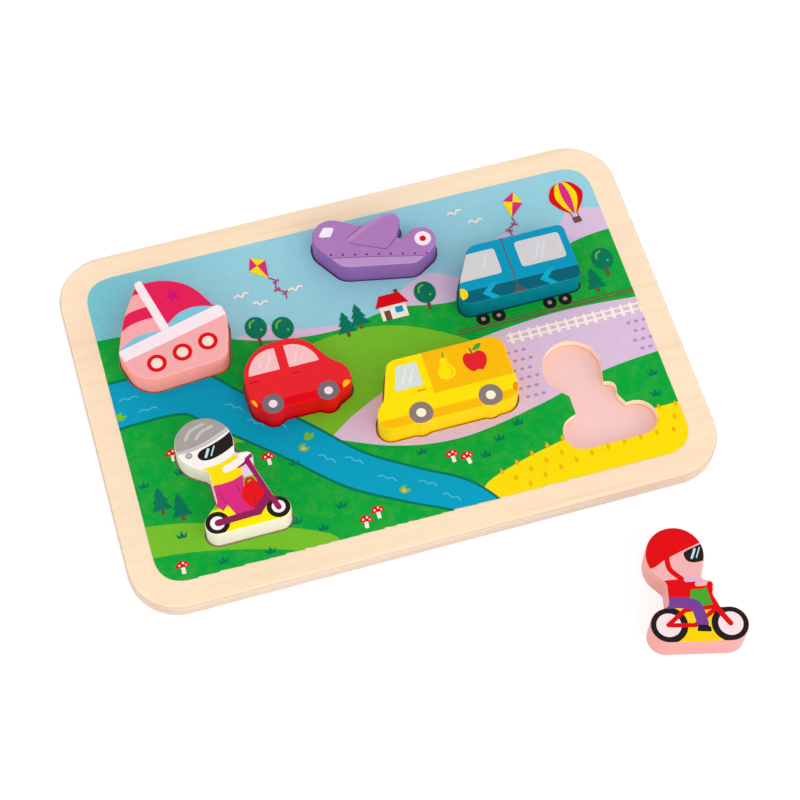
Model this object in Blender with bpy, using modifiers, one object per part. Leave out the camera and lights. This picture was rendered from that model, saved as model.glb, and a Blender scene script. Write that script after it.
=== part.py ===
"""Chunky lift-out puzzle for a small child.

A board of two glued wooden layers: the upper one has seven cut-outs, the lower one is their floor.
Six thick pieces stand in their recesses, and the seventh lies on the table in front of the board.

All sizes are written in millimetres and turned to metres once, by MM. +Z is up, +X runs along the
board's long side and +Y away from the person in front. The origin is the middle of the board's
underside, which is also the height of the table.
"""
import math

import bmesh
import bpy
from mathutils import Vector

MM = 0.001

# Board
BOARD_LENGTH = 260.0
BOARD_WIDTH = 176.0
BOARD_CORNER_RADIUS = 22.0
BOARD_EDGE_ROUND = 1.5
BASE_THICKNESS = 4.0
PANEL_THICKNESS = 3.7
GLUE_LINE = 0.3

# Pieces and their fit
PIECE_THICKNESS = 14.7
PIECE_EDGE_ROUND = 0.8
RECESS_CLEARANCE = 0.9
FLOOR_GAP = 0.3

# Sailing boat, measured from the point under the mast on the rail's lower edge
BOAT_STERN = 23.4
BOAT_BOW = 26.5
BOAT_STERN_DEPTH = 11.6
BOAT_BOW_DEPTH = 18.5
BOAT_FOREFOOT = 16.8
BOAT_RAIL_TOP = 7.2
BOAT_MAST_WIDTH = 4.0
BOAT_MAST_TOP = 35.2
BOAT_SAIL_TOP = 32.8
BOAT_SAIL_FOOT = 23.6
BOAT_SAIL_ROUND = 24.0
BOAT_JIB_BELLY = 14.5

# Aeroplane, measured from the middle of the body
PLANE_NOSE = 25.9
PLANE_NOSE_RADIUS = 9.0
PLANE_NOSE_HEIGHT = 4.6
PLANE_TAIL = 29.2
PLANE_TAIL_TOP = 6.9
PLANE_BELLY = 12.0
PLANE_BELLY_FRONT = 13.4
PLANE_BELLY_BACK = 19.8
PLANE_BACK = 1.9
PLANE_WING_ROOT = 3.9
PLANE_WING_TIP = 15.2
PLANE_WING_TOP = 15.6

# Train engine, measured from the middle of the body
TRAIN_FRONT = 29.2
TRAIN_REAR = 27.9
TRAIN_HEIGHT = 29.0
TRAIN_BROW = 16.9
TRAIN_CHIN = 25.6

# Car, measured from the middle between the wheel centres
CAR_WHEELBASE = 24.4
CAR_WHEEL_RADIUS = 4.75
CAR_SILL = 2.75
CAR_ARCH_REACH = 4.4
CAR_ARCH_DROP = 2.1
CAR_TAIL = 21.3
CAR_TAIL_FOOT = 1.3
CAR_NOSE = 23.7
CAR_NOSE_FOOT = 1.5
CAR_ROOF = 29.8
CAR_BONNET = 9.4
CAR_COWL = 16.2

# Van, measured from the middle between the wheel centres
VAN_WHEELBASE = 31.1
VAN_WHEEL_RADIUS = 5.25
VAN_SILL = 4.4
VAN_FRONT = 35.7
VAN_REAR = 28.8
VAN_ROOF = 28.2
VAN_COWL = 10.4
VAN_BROW = 23.0

# Scooter rider, measured from the middle between the wheel centres
SCOOTER_WHEELBASE = 26.4
SCOOTER_END_RADIUS = 5.2
SCOOTER_HEAD_RADIUS = 12.5
SCOOTER_HEAD_BACK = 9.8
SCOOTER_HEAD_HEIGHT = 37.2
SCOOTER_HAND_RADIUS = 2.6
SCOOTER_HAND_HEIGHT = 26.6
SCOOTER_REACH = 6.2
SCOOTER_BACK = 11.0
SCOOTER_POST_FOOT = 12.6

# Bicycle rider, measured from the middle between the wheel centres
BICYCLE_WHEELBASE = 25.4
BICYCLE_WHEEL_RADIUS = 7.6
BICYCLE_HEAD_RADIUS = 12.2
BICYCLE_HEAD_BACK = 7.0
BICYCLE_HEAD_HEIGHT = 31.4
BICYCLE_HAND_RADIUS = 2.4
BICYCLE_HAND_HEIGHT = 17.2
BICYCLE_REACH = 5.2
BICYCLE_BACK = 11.8
BICYCLE_POST_FOOT = 9.5

# Places on the board as x, y and the tilt in degrees, from the board's middle
BOAT_PLACE = (-86.0, 30.0, 14.0)
PLANE_PLACE = (10.0, 55.0, -11.7)
TRAIN_PLACE = (67.8, 27.1, 0.0)
CAR_PLACE = (-40.2, -11.6, 0.0)
VAN_PLACE = (22.8, -33.0, 0.0)
SCOOTER_PLACE = (-75.7, -59.2, 0.0)
BICYCLE_PLACE = (86.0, -55.7, 0.0)

# The loose piece: how far right of the middle, how far in front of the board, and its turn
LOOSE_RIGHT = 89.3
LOOSE_IN_FRONT = 67.7
LOOSE_TILT = -14.0

# How closely arcs are drawn, and the largest turn between two points
CHORD_ERROR = 0.04
LARGEST_STEP = math.radians(22.5)
SHORTEST_SIDE = 0.12

# Heights, all worked out from the layers
PANEL_BOTTOM = BASE_THICKNESS + GLUE_LINE
PANEL_TOP = PANEL_BOTTOM + PANEL_THICKNESS
PIECE_BOTTOM = BASE_THICKNESS + FLOOR_GAP
CUTTER_OVERSHOOT = 1.0


def clear_scene():
    for thing in list(bpy.data.objects):
        bpy.data.objects.remove(thing, do_unlink=True)


def new_collection(name):
    collection = bpy.data.collections.new(name)
    bpy.context.scene.collection.children.link(collection)
    return collection


def new_material(name, colour, roughness):
    material = bpy.data.materials.new(name)
    material.use_nodes = True
    shader = material.node_tree.nodes["Principled BSDF"]
    shader.inputs["Base Color"].default_value = (*colour, 1.0)
    shader.inputs["Roughness"].default_value = roughness
    shader.inputs["Metallic"].default_value = 0.0
    return material


# Outlines: closed, counter-clockwise lists of corners (x, y, radius)

def arc(centre_x, centre_y, radius, start, end):
    """The corners that round off to an arc of a circle between two angles in degrees."""
    parts = max(1, math.ceil((end - start) / 90.0))
    half = math.radians((end - start) / parts / 2.0)
    corners = []
    for part in range(parts):
        middle = math.radians(start) + half * (2 * part + 1)
        reach = radius / math.cos(half)
        x = centre_x + reach * math.cos(middle)
        y = centre_y + reach * math.sin(middle)
        corners.append((x, y, radius))
    return corners


def wheel_bump(centre_x, radius, sill, half_angle, blend):
    """A wheel that shows a little below the sill: a hollow corner, the arc, a hollow corner."""
    lean = math.radians(half_angle)
    rise = radius * math.cos(lean) - sill
    foot = radius * math.sin(lean) + rise / math.tan(lean)
    bump = [(centre_x - foot, -sill, blend)]
    bump += arc(centre_x, 0.0, radius, 270.0 - half_angle, 270.0 + half_angle)
    bump.append((centre_x + foot, -sill, blend))
    return bump


def moved_corners(corners, grow):
    """Each corner after both of its sides have moved outwards by grow."""
    count = len(corners)
    places = [Vector(corner[:2]) for corner in corners]
    moved = []
    for index, place in enumerate(places):
        before = (place - places[index - 1]).normalized()
        after = (places[(index + 1) % count] - place).normalized()
        turn = math.atan2(before.x * after.y - before.y * after.x, before.dot(after))
        outwards = Vector((before.y + after.y, -before.x - after.x)).normalized()
        spot = place + outwards * (grow / math.cos(turn / 2.0))
        radius = corners[index][2] + math.copysign(grow, turn)
        moved.append((spot, before, after, turn, max(radius, 0.0)))
    return moved


def outline_points(corners, grow=0.0):
    """The points of an outline with its corners rounded, grown outwards by a clearance."""
    moved = moved_corners(corners, grow)
    reaches = [radius * math.tan(abs(turn) / 2.0) for _, _, _, turn, radius in moved]
    points = []
    for index, (spot, before, after, turn, radius) in enumerate(moved):
        share = 1.0
        for other in (index - 1, (index + 1) % len(moved)):
            room = (moved[other][0] - spot).length
            share = min(share, room / max(reaches[index] + reaches[other], room))
        radius = radius * share
        reach = reaches[index] * share
        if radius <= CHORD_ERROR:
            points.append(spot)
            continue
        step = min(2.0 * math.acos(1.0 - CHORD_ERROR / radius), LARGEST_STEP)
        steps = max(1, math.ceil(abs(turn) / step))
        start = spot - before * reach
        inwards = Vector((-before.y, before.x)) * math.copysign(radius, turn)
        centre = start + inwards
        for number in range(steps + 1):
            swing = turn * number / steps
            spoke = -inwards
            x = spoke.x * math.cos(swing) - spoke.y * math.sin(swing)
            y = spoke.x * math.sin(swing) + spoke.y * math.cos(swing)
            points.append(centre + Vector((x, y)))
    kept = []
    for index, point in enumerate(points):
        if (point - points[index - 1]).length > SHORTEST_SIDE:
            kept.append(point)
    return kept


def board_outline():
    x = BOARD_LENGTH / 2.0
    y = BOARD_WIDTH / 2.0
    r = BOARD_CORNER_RADIUS
    return [(-x, -y, r), (x, -y, r), (x, y, r), (-x, y, r)]


def boat_outline():
    mast = BOAT_MAST_WIDTH / 2.0
    return [
        (-BOAT_STERN + 0.5, -BOAT_STERN_DEPTH, 12.5),
        (BOAT_FOREFOOT, -BOAT_BOW_DEPTH, 6.0),
        (BOAT_BOW, 0.2, 14.0),
        (BOAT_BOW, BOAT_RAIL_TOP, 3.0),
        (BOAT_SAIL_FOOT, BOAT_RAIL_TOP + 0.4, 1.5),
        (BOAT_SAIL_FOOT * 0.78, BOAT_SAIL_TOP - 3.0, BOAT_SAIL_ROUND),
        (mast, BOAT_SAIL_TOP, 1.5),
        (mast, BOAT_MAST_TOP, mast * 0.9),
        (-mast, BOAT_MAST_TOP, mast * 0.9),
        (-mast, BOAT_SAIL_TOP + 0.4, 1.5),
        (-BOAT_JIB_BELLY, BOAT_SAIL_TOP - 12.2, 45.0),
        (-BOAT_STERN, BOAT_RAIL_TOP - 0.6, 2.0),
    ]


def plane_outline():
    nose_x = PLANE_NOSE_RADIUS - PLANE_NOSE
    outline = [
        (-PLANE_BELLY_FRONT, -PLANE_BELLY, 8.0),
        (PLANE_BELLY_BACK, -PLANE_BELLY, 6.5),
        (PLANE_TAIL, -PLANE_BELLY * 0.27, 6.0),
        (PLANE_TAIL, PLANE_TAIL_TOP, 5.6),
        (PLANE_BELLY_BACK - 0.6, PLANE_TAIL_TOP, 4.5),
        (PLANE_WING_TIP - 0.4, PLANE_BACK, 2.5),
        (PLANE_WING_TIP - 3.6, PLANE_BACK, 1.4),
        (PLANE_WING_TIP, PLANE_WING_TOP - 0.2, 4.2),
        (PLANE_WING_TIP - 8.2, PLANE_WING_TOP, 7.0),
        (-PLANE_WING_ROOT, PLANE_WING_TOP - 6.2, 5.0),
    ]
    outline += arc(nose_x, PLANE_NOSE_HEIGHT, PLANE_NOSE_RADIUS, 70.0, 180.0)
    outline += arc(nose_x, PLANE_NOSE_HEIGHT, PLANE_NOSE_RADIUS, 180.0, 224.0)
    return outline


def train_outline():
    half = TRAIN_HEIGHT / 2.0
    return [
        (-TRAIN_FRONT, -half, 5.0),
        (TRAIN_REAR, -half, 3.5),
        (TRAIN_REAR, half, 3.2),
        (-TRAIN_BROW, half, 6.5),
        (-TRAIN_CHIN, -half * 0.12, 25.0),
    ]


def car_outline():
    wheel = CAR_WHEELBASE / 2.0
    bump = wheel_bump(0.0, CAR_WHEEL_RADIUS, CAR_SILL, 30.0, 2.0)
    inner_foot = bump[-1][0]
    outline = [
        (-CAR_TAIL, CAR_TAIL_FOOT, 8.0),
        (-wheel - CAR_ARCH_REACH, -CAR_ARCH_DROP, 2.0),
    ]
    outline += arc(-wheel, 0.0, CAR_WHEEL_RADIUS, 215.0, 300.0)
    outline += [
        (-wheel + inner_foot, -CAR_SILL, 4.0),
        (wheel - inner_foot, -CAR_SILL, 4.0),
    ]
    outline += arc(wheel, 0.0, CAR_WHEEL_RADIUS, 240.0, 318.0)
    outline += [
        (wheel + CAR_ARCH_REACH, -CAR_ARCH_DROP, 2.0),
        (CAR_NOSE, CAR_NOSE_FOOT, 4.5),
        (CAR_NOSE, CAR_BONNET, 8.0),
        (CAR_COWL, CAR_COWL, 12.0),
        (CAR_COWL - 7.4, CAR_ROOF, 14.0),
        (-CAR_TAIL, CAR_ROOF, 17.0),
    ]
    return outline


def van_outline():
    wheel = VAN_WHEELBASE / 2.0
    outline = [(-VAN_FRONT, -VAN_SILL, 5.5)]
    outline += wheel_bump(-wheel, VAN_WHEEL_RADIUS, VAN_SILL, 20.0, 4.0)
    outline += wheel_bump(wheel, VAN_WHEEL_RADIUS, VAN_SILL, 20.0, 4.0)
    outline += [
        (VAN_REAR, -VAN_SILL, 7.0),
        (VAN_REAR, VAN_ROOF, 7.0),
        (-VAN_BROW, VAN_ROOF, 5.0),
        (-VAN_BROW - 6.2, VAN_COWL, 5.0),
        (-VAN_FRONT + 2.5, VAN_COWL - 4.4, 4.0),
    ]
    return outline


def off_the_wheel(middle_x, radius, angle, x):
    """The height at x of the straight line that leaves a wheel's rim at an angle, in degrees."""
    lean = math.radians(angle)
    return (radius - (x - middle_x) * math.cos(lean)) / math.sin(lean)


def rider_outline(wheel, end_radius, head, hand, back, post_foot, front_angle, rear_angle, chin):
    """A rider on two wheels, facing right: wheels, steering post, hand, head and back.

    head and hand are circles (x, y, radius); the angles say how much of each circle shows.
    """
    hand_x, hand_y, hand_radius = hand
    head_x, head_y, head_radius = head
    post_top = hand_x + hand_radius * 0.65
    front_foot = off_the_wheel(wheel, end_radius, front_angle, post_foot)
    rear_foot = off_the_wheel(-wheel, end_radius, rear_angle, -back)
    outline = arc(-wheel, 0.0, end_radius, 180.0, 270.0)
    outline += arc(wheel, 0.0, end_radius, 270.0, 360.0)
    outline += arc(wheel, 0.0, end_radius, 0.0, front_angle)
    outline.append((post_foot, front_foot, 1.5))
    outline.append((post_top, hand_y - hand_radius * 1.6, 3.0))
    outline += arc(hand_x, hand_y, hand_radius, -20.0, 82.0)
    outline.append((head_x + head_radius - chin, hand_y + hand_radius * 1.15, 1.8))
    outline += arc(head_x, head_y, head_radius, -14.0, 90.0)
    outline += arc(head_x, head_y, head_radius, 90.0, 230.0)
    outline.append((-back, head_y - head_radius - 0.8, 2.5))
    outline.append((-back, rear_foot, 2.2))
    outline += arc(-wheel, 0.0, end_radius, rear_angle, 180.0)
    return outline


def scooter_outline():
    head = (-SCOOTER_HEAD_BACK, SCOOTER_HEAD_HEIGHT, SCOOTER_HEAD_RADIUS)
    hand = (SCOOTER_REACH, SCOOTER_HAND_HEIGHT, SCOOTER_HAND_RADIUS)
    wheel = SCOOTER_WHEELBASE / 2.0
    return rider_outline(
        wheel, SCOOTER_END_RADIUS, head, hand, SCOOTER_BACK, SCOOTER_POST_FOOT, 70.0, 133.0, 1.2
    )


def bicycle_outline():
    head = (-BICYCLE_HEAD_BACK, BICYCLE_HEAD_HEIGHT, BICYCLE_HEAD_RADIUS)
    hand = (BICYCLE_REACH, BICYCLE_HAND_HEIGHT, BICYCLE_HAND_RADIUS)
    wheel = BICYCLE_WHEELBASE / 2.0
    return rider_outline(
        wheel, BICYCLE_WHEEL_RADIUS, head, hand, BICYCLE_BACK, BICYCLE_POST_FOOT, 95.0, 108.0, 2.6
    )


# Solids

def flat_solid(name, points, bottom, top, place, collection):
    """A plate with the given outline between two heights, as a closed mesh with whole end faces."""
    curve = bpy.data.curves.new(name + "_outline", "CURVE")
    curve.dimensions = "2D"
    curve.fill_mode = "BOTH"
    curve.extrude = (top - bottom) / 2.0 * MM
    spline = curve.splines.new("POLY")
    spline.points.add(len(points) - 1)
    for knot, point in zip(spline.points, points):
        knot.co = (point.x * MM, point.y * MM, 0.0, 1.0)
    spline.use_cyclic_u = True
    drawn = bpy.data.objects.new(name + "_outline", curve)
    x, y, tilt = place
    drawn.location = (x * MM, y * MM, (bottom + top) / 2.0 * MM)
    drawn.rotation_euler = (0.0, 0.0, math.radians(tilt))
    bpy.context.scene.collection.objects.link(drawn)
    graph = bpy.context.evaluated_depsgraph_get()
    mesh = bpy.data.meshes.new_from_object(drawn.evaluated_get(graph))
    mesh.name = name
    solid = bpy.data.objects.new(name, mesh)
    solid.matrix_world = drawn.matrix_world
    collection.objects.link(solid)
    bpy.data.objects.remove(drawn, do_unlink=True)

    work = bmesh.new()
    work.from_mesh(mesh)
    bmesh.ops.remove_doubles(work, verts=work.verts, dist=0.00001)
    flat = math.radians(0.2)
    bmesh.ops.dissolve_limit(work, angle_limit=flat, verts=work.verts, edges=work.edges)
    bmesh.ops.recalc_face_normals(work, faces=work.faces)
    work.to_mesh(mesh)
    work.free()
    return solid


def round_rims(solid, radius, segments, sides):
    """Round the rim edges of a plate: sides is "top", "bottom" or "both"."""
    mesh = solid.data
    work = bmesh.new()
    work.from_mesh(mesh)
    weight = work.edges.layers.float.new("bevel_weight_edge")
    wanted = {"top": (1,), "bottom": (-1,), "both": (-1, 1)}[sides]
    for edge in work.edges:
        for cap in edge.link_faces:
            if round(cap.normal.z) in wanted and abs(cap.normal.z) > 0.9:
                edge[weight] = 1.0
    work.to_mesh(mesh)
    work.free()
    bevel = solid.modifiers.new("Rounded rim", "BEVEL")
    bevel.limit_method = "WEIGHT"
    bevel.width = radius * MM
    bevel.segments = segments
    bevel.use_clamp_overlap = False


def paint(solid, material):
    solid.data.materials.clear()
    solid.data.materials.append(material)
    solid.data.shade_smooth()
    solid.data.set_sharp_from_angle(angle=math.radians(35.0))


def make_piece(name, outline, place, bottom, material, collection):
    top = bottom + PIECE_THICKNESS
    piece = flat_solid(name, outline_points(outline), bottom, top, place, collection)
    round_rims(piece, PIECE_EDGE_ROUND, 2, "both")
    paint(piece, material)
    return piece


def make_recess_cutter(name, outline, place, collection):
    """The shape that cuts a piece's recess: its outline, grown by the clearance."""
    points = outline_points(outline, RECESS_CLEARANCE)
    low = PANEL_BOTTOM - CUTTER_OVERSHOOT
    high = PANEL_TOP + CUTTER_OVERSHOOT
    cutter = flat_solid(name, points, low, high, place, collection)
    cutter.hide_render = True
    cutter.display_type = "WIRE"
    return cutter


def make_base_panel(material, collection):
    points = outline_points(board_outline())
    base = flat_solid("base_panel", points, 0.0, BASE_THICKNESS, (0.0, 0.0, 0.0), collection)
    round_rims(base, BOARD_EDGE_ROUND, 3, "bottom")
    paint(base, material)
    return base


def make_picture_panel(cutters, material, collection):
    points = outline_points(board_outline())
    middle = (0.0, 0.0, 0.0)
    panel = flat_solid("picture_panel", points, PANEL_BOTTOM, PANEL_TOP, middle, collection)
    round_rims(panel, BOARD_EDGE_ROUND, 3, "top")
    for cutter in cutters:
        cut = panel.modifiers.new("Cut " + cutter.name, "BOOLEAN")
        cut.operation = "DIFFERENCE"
        cut.solver = "EXACT"
        cut.object = cutter
    paint(panel, material)
    return panel


def build():
    clear_scene()
    parts = new_collection("chunky_puzzle")
    cutters = new_collection("cutters")

    wood = new_material("pale_wood", (0.86, 0.70, 0.50), 0.55)
    pink = new_material("pink_paint", (0.86, 0.38, 0.36), 0.4)
    purple = new_material("purple_paint", (0.38, 0.20, 0.46), 0.4)
    teal = new_material("teal_paint", (0.01, 0.27, 0.42), 0.4)
    red = new_material("red_paint", (0.75, 0.02, 0.03), 0.4)
    yellow = new_material("yellow_paint", (0.96, 0.74, 0.01), 0.4)
    white = new_material("white_paint", (0.86, 0.80, 0.74), 0.4)

    in_board = [
        ("boat", boat_outline(), BOAT_PLACE, pink),
        ("aeroplane", plane_outline(), PLANE_PLACE, purple),
        ("train", train_outline(), TRAIN_PLACE, teal),
        ("car", car_outline(), CAR_PLACE, red),
        ("van", van_outline(), VAN_PLACE, yellow),
        ("scooter_rider", scooter_outline(), SCOOTER_PLACE, white),
    ]
    recesses = []
    for name, outline, place, material in in_board:
        make_piece(name + "_piece", outline, place, PIECE_BOTTOM, material, parts)
        recesses.append(make_recess_cutter(name + "_recess", outline, place, cutters))

    rider = bicycle_outline()
    on_table = (LOOSE_RIGHT, -BOARD_WIDTH / 2.0 - LOOSE_IN_FRONT, LOOSE_TILT)
    make_piece("bicycle_rider_piece", rider, on_table, 0.0, pink, parts)
    recesses.append(make_recess_cutter("bicycle_rider_recess", rider, BICYCLE_PLACE, cutters))

    make_base_panel(wood, parts)
    make_picture_panel(recesses, wood, parts)


build()
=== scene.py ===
# %% [markdown]
# # A chunky lift-out puzzle
#
# The real toy is a wooden board of two glued layers. The upper layer has seven cut-outs and carries
# a printed picture; the lower layer is the floor of the cut-outs. Seven thick wooden pieces are
# sawn out, rounded, painted all over and printed on top.
#
# The solids were made and packed before. This lesson dresses them: it lights them, gives them wood,
# paint and ink, and draws the prints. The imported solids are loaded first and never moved.

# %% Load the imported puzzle
import math
import random

import bpy
from mathutils import Matrix, Vector


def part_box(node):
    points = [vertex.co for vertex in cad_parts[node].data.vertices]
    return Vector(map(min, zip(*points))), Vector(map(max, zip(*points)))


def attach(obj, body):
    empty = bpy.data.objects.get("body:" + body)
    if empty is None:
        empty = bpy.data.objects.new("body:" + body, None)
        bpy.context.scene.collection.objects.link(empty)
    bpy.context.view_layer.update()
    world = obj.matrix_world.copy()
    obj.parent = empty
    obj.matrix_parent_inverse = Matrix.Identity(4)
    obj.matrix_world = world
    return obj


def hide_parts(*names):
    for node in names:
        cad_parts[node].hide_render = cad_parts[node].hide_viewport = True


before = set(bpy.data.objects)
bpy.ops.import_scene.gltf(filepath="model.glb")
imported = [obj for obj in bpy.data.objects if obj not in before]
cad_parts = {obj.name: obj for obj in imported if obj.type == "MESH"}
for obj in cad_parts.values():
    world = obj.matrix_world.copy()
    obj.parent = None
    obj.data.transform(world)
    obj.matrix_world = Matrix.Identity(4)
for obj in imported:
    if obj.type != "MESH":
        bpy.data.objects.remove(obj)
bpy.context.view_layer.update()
MM = 0.001
BASE_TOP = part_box("base_panel")[1].z / MM
PANEL_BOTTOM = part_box("picture_panel")[0].z / MM
PANEL_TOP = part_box("picture_panel")[1].z / MM

# %% [markdown]
# ## The camera
#
# The photograph looks down on the board from the front left with a long lens, so that lines that
# run away from us hardly meet. The place and the turn were solved from the board's four straight
# edges. The frame is square.

# %% Camera
CAMERA_PLACE = (-0.12768, -0.42710, 0.81044)
CAMERA_TURN = (28.07, -0.669, -16.381)
CAMERA_LENS = 94.31

bpy.ops.object.camera_add(location=CAMERA_PLACE)
camera = bpy.context.object
camera.name = "photo_camera"
camera.rotation_euler = [math.radians(angle) for angle in CAMERA_TURN]
camera.data.lens = CAMERA_LENS
camera.data.sensor_width = 36.0
camera.data.clip_start = 0.01
camera.data.dof.use_dof = False
bpy.context.scene.camera = camera
print("camera", tuple(camera.location))

# %% [markdown]
# ## Nodes and colours
#
# Every material below is a small tree of nodes. One helper adds a node, sets its properties and
# fills or links its sockets, and one function turns the hex value that a paint chart gives into the
# linear numbers that the renderer counts with.

# %% Helpers for nodes and colours
def linear(hex_colour):
    """An sRGB hex value as linear red, green, blue and an alpha of one."""
    parts = [int(hex_colour[start:start + 2], 16) / 255.0 for start in (1, 3, 5)]
    turned = [
        part / 12.92 if part <= 0.04045 else ((part + 0.055) / 1.055) ** 2.4 for part in parts
    ]
    return (*turned, 1.0)


def darker(colour, share):
    """The same linear colour with a share of its light taken off."""
    return (*[part * (1.0 - share) for part in colour[:3]], 1.0)


def add_node(tree, kind, sockets=None, **settings):
    """Adds one node, sets its properties, and fills its sockets with values or links."""
    node = tree.nodes.new(kind)
    for name, value in settings.items():
        setattr(node, name, value)
    for socket, value in (sockets or {}).items():
        if isinstance(value, bpy.types.NodeSocket):
            tree.links.new(value, node.inputs[socket])
        else:
            node.inputs[socket].default_value = value
    return node


def new_material(name):
    """An empty material: its tree, and the surface socket that the shader goes into."""
    material = bpy.data.materials.new(name)
    material.use_nodes = True
    tree = material.node_tree
    tree.nodes.clear()
    output = add_node(tree, "ShaderNodeOutputMaterial")
    return material, tree, output.inputs["Surface"]


def seen_directly(tree):
    """One where the camera, a reflection or a clear body looks at a surface, zero for other light."""
    ray = add_node(tree, "ShaderNodeLightPath").outputs
    share = ray["Is Camera Ray"]
    for other in ("Is Glossy Ray", "Is Transmission Ray"):
        both = {0: share, 1: ray[other]}
        share = add_node(tree, "ShaderNodeMath", both, operation="MAXIMUM").outputs[0]
    return share


MIX_A, MIX_B, MIX_RESULT = 6, 7, 2
print("white paint in linear numbers:", linear("#FFFFFF"))

# %% [markdown]
# ## Table and light
#
# A product photograph like this one is taken in a light tent: white walls all round that are bright
# near the table and duller overhead, so that the sides of the pieces are nearly as light as their
# tops. One large soft lamp in front gives the fronts a little more than the sides that look left.
# The levels are set so that a colour renders about as it is written. The white behind comes from
# the table's own colour where the camera, or a reflection, looks at it. Most of that white is the
# paper's own glow, so that the shade round the toy stays as faint as a light tent leaves it.

# %% Room light and front lamp
TENT_LOW, TENT_HIGH = 2.70, 0.55
TENT_FALL = 2.0
LAMP_LEVEL = 0.80
LAMP_SOFTNESS = 60.0
LAMP_FROM = Vector((0.42, -0.75, 0.55))

bpy.context.scene.view_settings.view_transform = "Standard"
world = bpy.data.worlds.new("Light tent")
bpy.context.scene.world = world
world.use_nodes = True
room = world.node_tree
room.nodes.clear()
way = add_node(room, "ShaderNodeTexCoord").outputs["Generated"]
height = add_node(room, "ShaderNodeSeparateXYZ", {"Vector": way}).outputs["Z"]
low = add_node(
    room, "ShaderNodeMapRange", {"Value": height, "To Min": 1.0, "To Max": 0.0}
).outputs[0]
falling = add_node(room, "ShaderNodeMath", {0: low, 1: TENT_FALL}, operation="POWER").outputs[0]
level = add_node(
    room, "ShaderNodeMapRange", {"Value": falling, "To Min": TENT_HIGH, "To Max": TENT_LOW}
).outputs[0]
looked_at = seen_directly(room)
glow = add_node(room, "ShaderNodeBackground", {"Color": linear("#FDFDFF"), "Strength": level})
backdrop = add_node(room, "ShaderNodeBackground", {"Color": linear("#FFFFFF"), "Strength": 1.0})
seen = add_node(room, "ShaderNodeMixShader", {0: looked_at, 1: glow.outputs[0], 2: backdrop.outputs[0]})
add_node(room, "ShaderNodeOutputWorld", {"Surface": seen.outputs[0]})

bpy.ops.object.light_add(type="SUN", location=LAMP_FROM)
lamp = bpy.context.object
lamp.name = "front_softbox"
lamp.data.energy = LAMP_LEVEL
lamp.data.angle = math.radians(LAMP_SOFTNESS)
lamp.rotation_euler = LAMP_FROM.to_track_quat("Z", "Y").to_euler()
print("lamp from", tuple(LAMP_FROM))

# %% Table
TABLE_SIDE = 6.0
PAPER_SHADED, PAPER_GLOW = 0.36, 0.72

bpy.ops.mesh.primitive_plane_add(size=TABLE_SIDE, location=(0.0, 0.0, 0.0))
table = bpy.context.object
table.name = "white_table"
paper, tree, surface = new_material("Matt white paper sweep")
looked_at = seen_directly(tree)
dull = add_node(tree, "ShaderNodeBsdfDiffuse", {"Color": linear("#F2F2F2")})
bright = add_node(tree, "ShaderNodeBsdfDiffuse", {"Color": (*[PAPER_SHADED] * 3, 1.0)})
lifted = add_node(tree, "ShaderNodeEmission", {"Color": linear("#FFFFFF"), "Strength": PAPER_GLOW})
paper_white = add_node(tree, "ShaderNodeAddShader", {0: bright.outputs[0], 1: lifted.outputs[0]})
seen = add_node(
    tree, "ShaderNodeMixShader", {0: looked_at, 1: dull.outputs[0], 2: paper_white.outputs[0]}
)
tree.links.new(seen.outputs[0], surface)
table.data.materials.append(paper)
print("table", TABLE_SIDE, "m")

# %% [markdown]
# ## Wood
#
# The board is light plywood, sanded and left bare. Such wood is pale cream with long, faint streaks
# along the board, here and there the darker line of a growth ring, and fine short flecks, and
# sanding leaves it nearly matt. All three are noise stretched along X: streaks 4.5 mm wide and
# 110 mm long, rings of which only the crests of 7 mm waves show, and flecks 0.35 mm wide, drawn a
# little coarser than real pores so that they show.

# %% Helpers for noise, tones and a joined shader
def stretched_noise(tree, place, long, wide, **sockets):
    """Noise drawn out along X: long that way, and wide across it."""
    scale = (1.0 / long, 1.0 / wide, 1.0 / wide)
    stretch = add_node(tree, "ShaderNodeMapping", {"Vector": place, "Scale": scale})
    wanted = {"Vector": stretch.outputs[0], "Scale": 1.0, **sockets}
    return add_node(tree, "ShaderNodeTexNoise", wanted).outputs["Fac"]


def toned_with(tree, colour, value, second, shows):
    """The colour with a second one mixed in where the value lies high in the span that shows."""
    share = add_node(tree, "ShaderNodeMapRange", {"Value": value, **shows}).outputs[0]
    mixed = {0: share, MIX_A: colour, MIX_B: second}
    return add_node(tree, "ShaderNodeMix", mixed, data_type="RGBA").outputs[MIX_RESULT]


def join_shader(tree, surface, colour, tone, roughness, grain, relief, gloss):
    """A plain dielectric whose roughness follows the tone and whose relief follows the grain."""
    rough = add_node(tree, "ShaderNodeMapRange", {"Value": tone, **roughness}).outputs[0]
    bumps = add_node(tree, "ShaderNodeBump", {"Height": grain, **relief}).outputs[0]
    wanted = {"Base Color": colour, "Roughness": rough, "Normal": bumps, **gloss}
    shader = add_node(tree, "ShaderNodeBsdfPrincipled", wanted)
    tree.links.new(shader.outputs[0], surface)


print("a darker white:", darker(linear("#FFFFFF"), 0.1))

# %% Sanded plywood
STREAK_WIDE, STREAK_LONG = 4.5 * MM, 110.0 * MM
RING_WIDE, RING_LONG = 7.0 * MM, 150.0 * MM
FLECK_WIDE, FLECK_LONG = 0.35 * MM, 5.0 * MM
STREAKS_SHOW = {"From Min": 0.38, "From Max": 0.76}
RINGS_SHOW = {"From Min": 0.61, "From Max": 0.72, "To Max": 0.55}
FLECKS_SHOW = {"From Min": 0.60, "From Max": 0.78, "To Max": 0.40}
WOOD_ROUGH = {"To Min": 0.52, "To Max": 0.68}
WOOD_RELIEF = {"Strength": 0.25, "Distance": 0.03 * MM}
WOOD_GLOSS = {"IOR": 1.48, "Specular IOR Level": 0.35}


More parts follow.
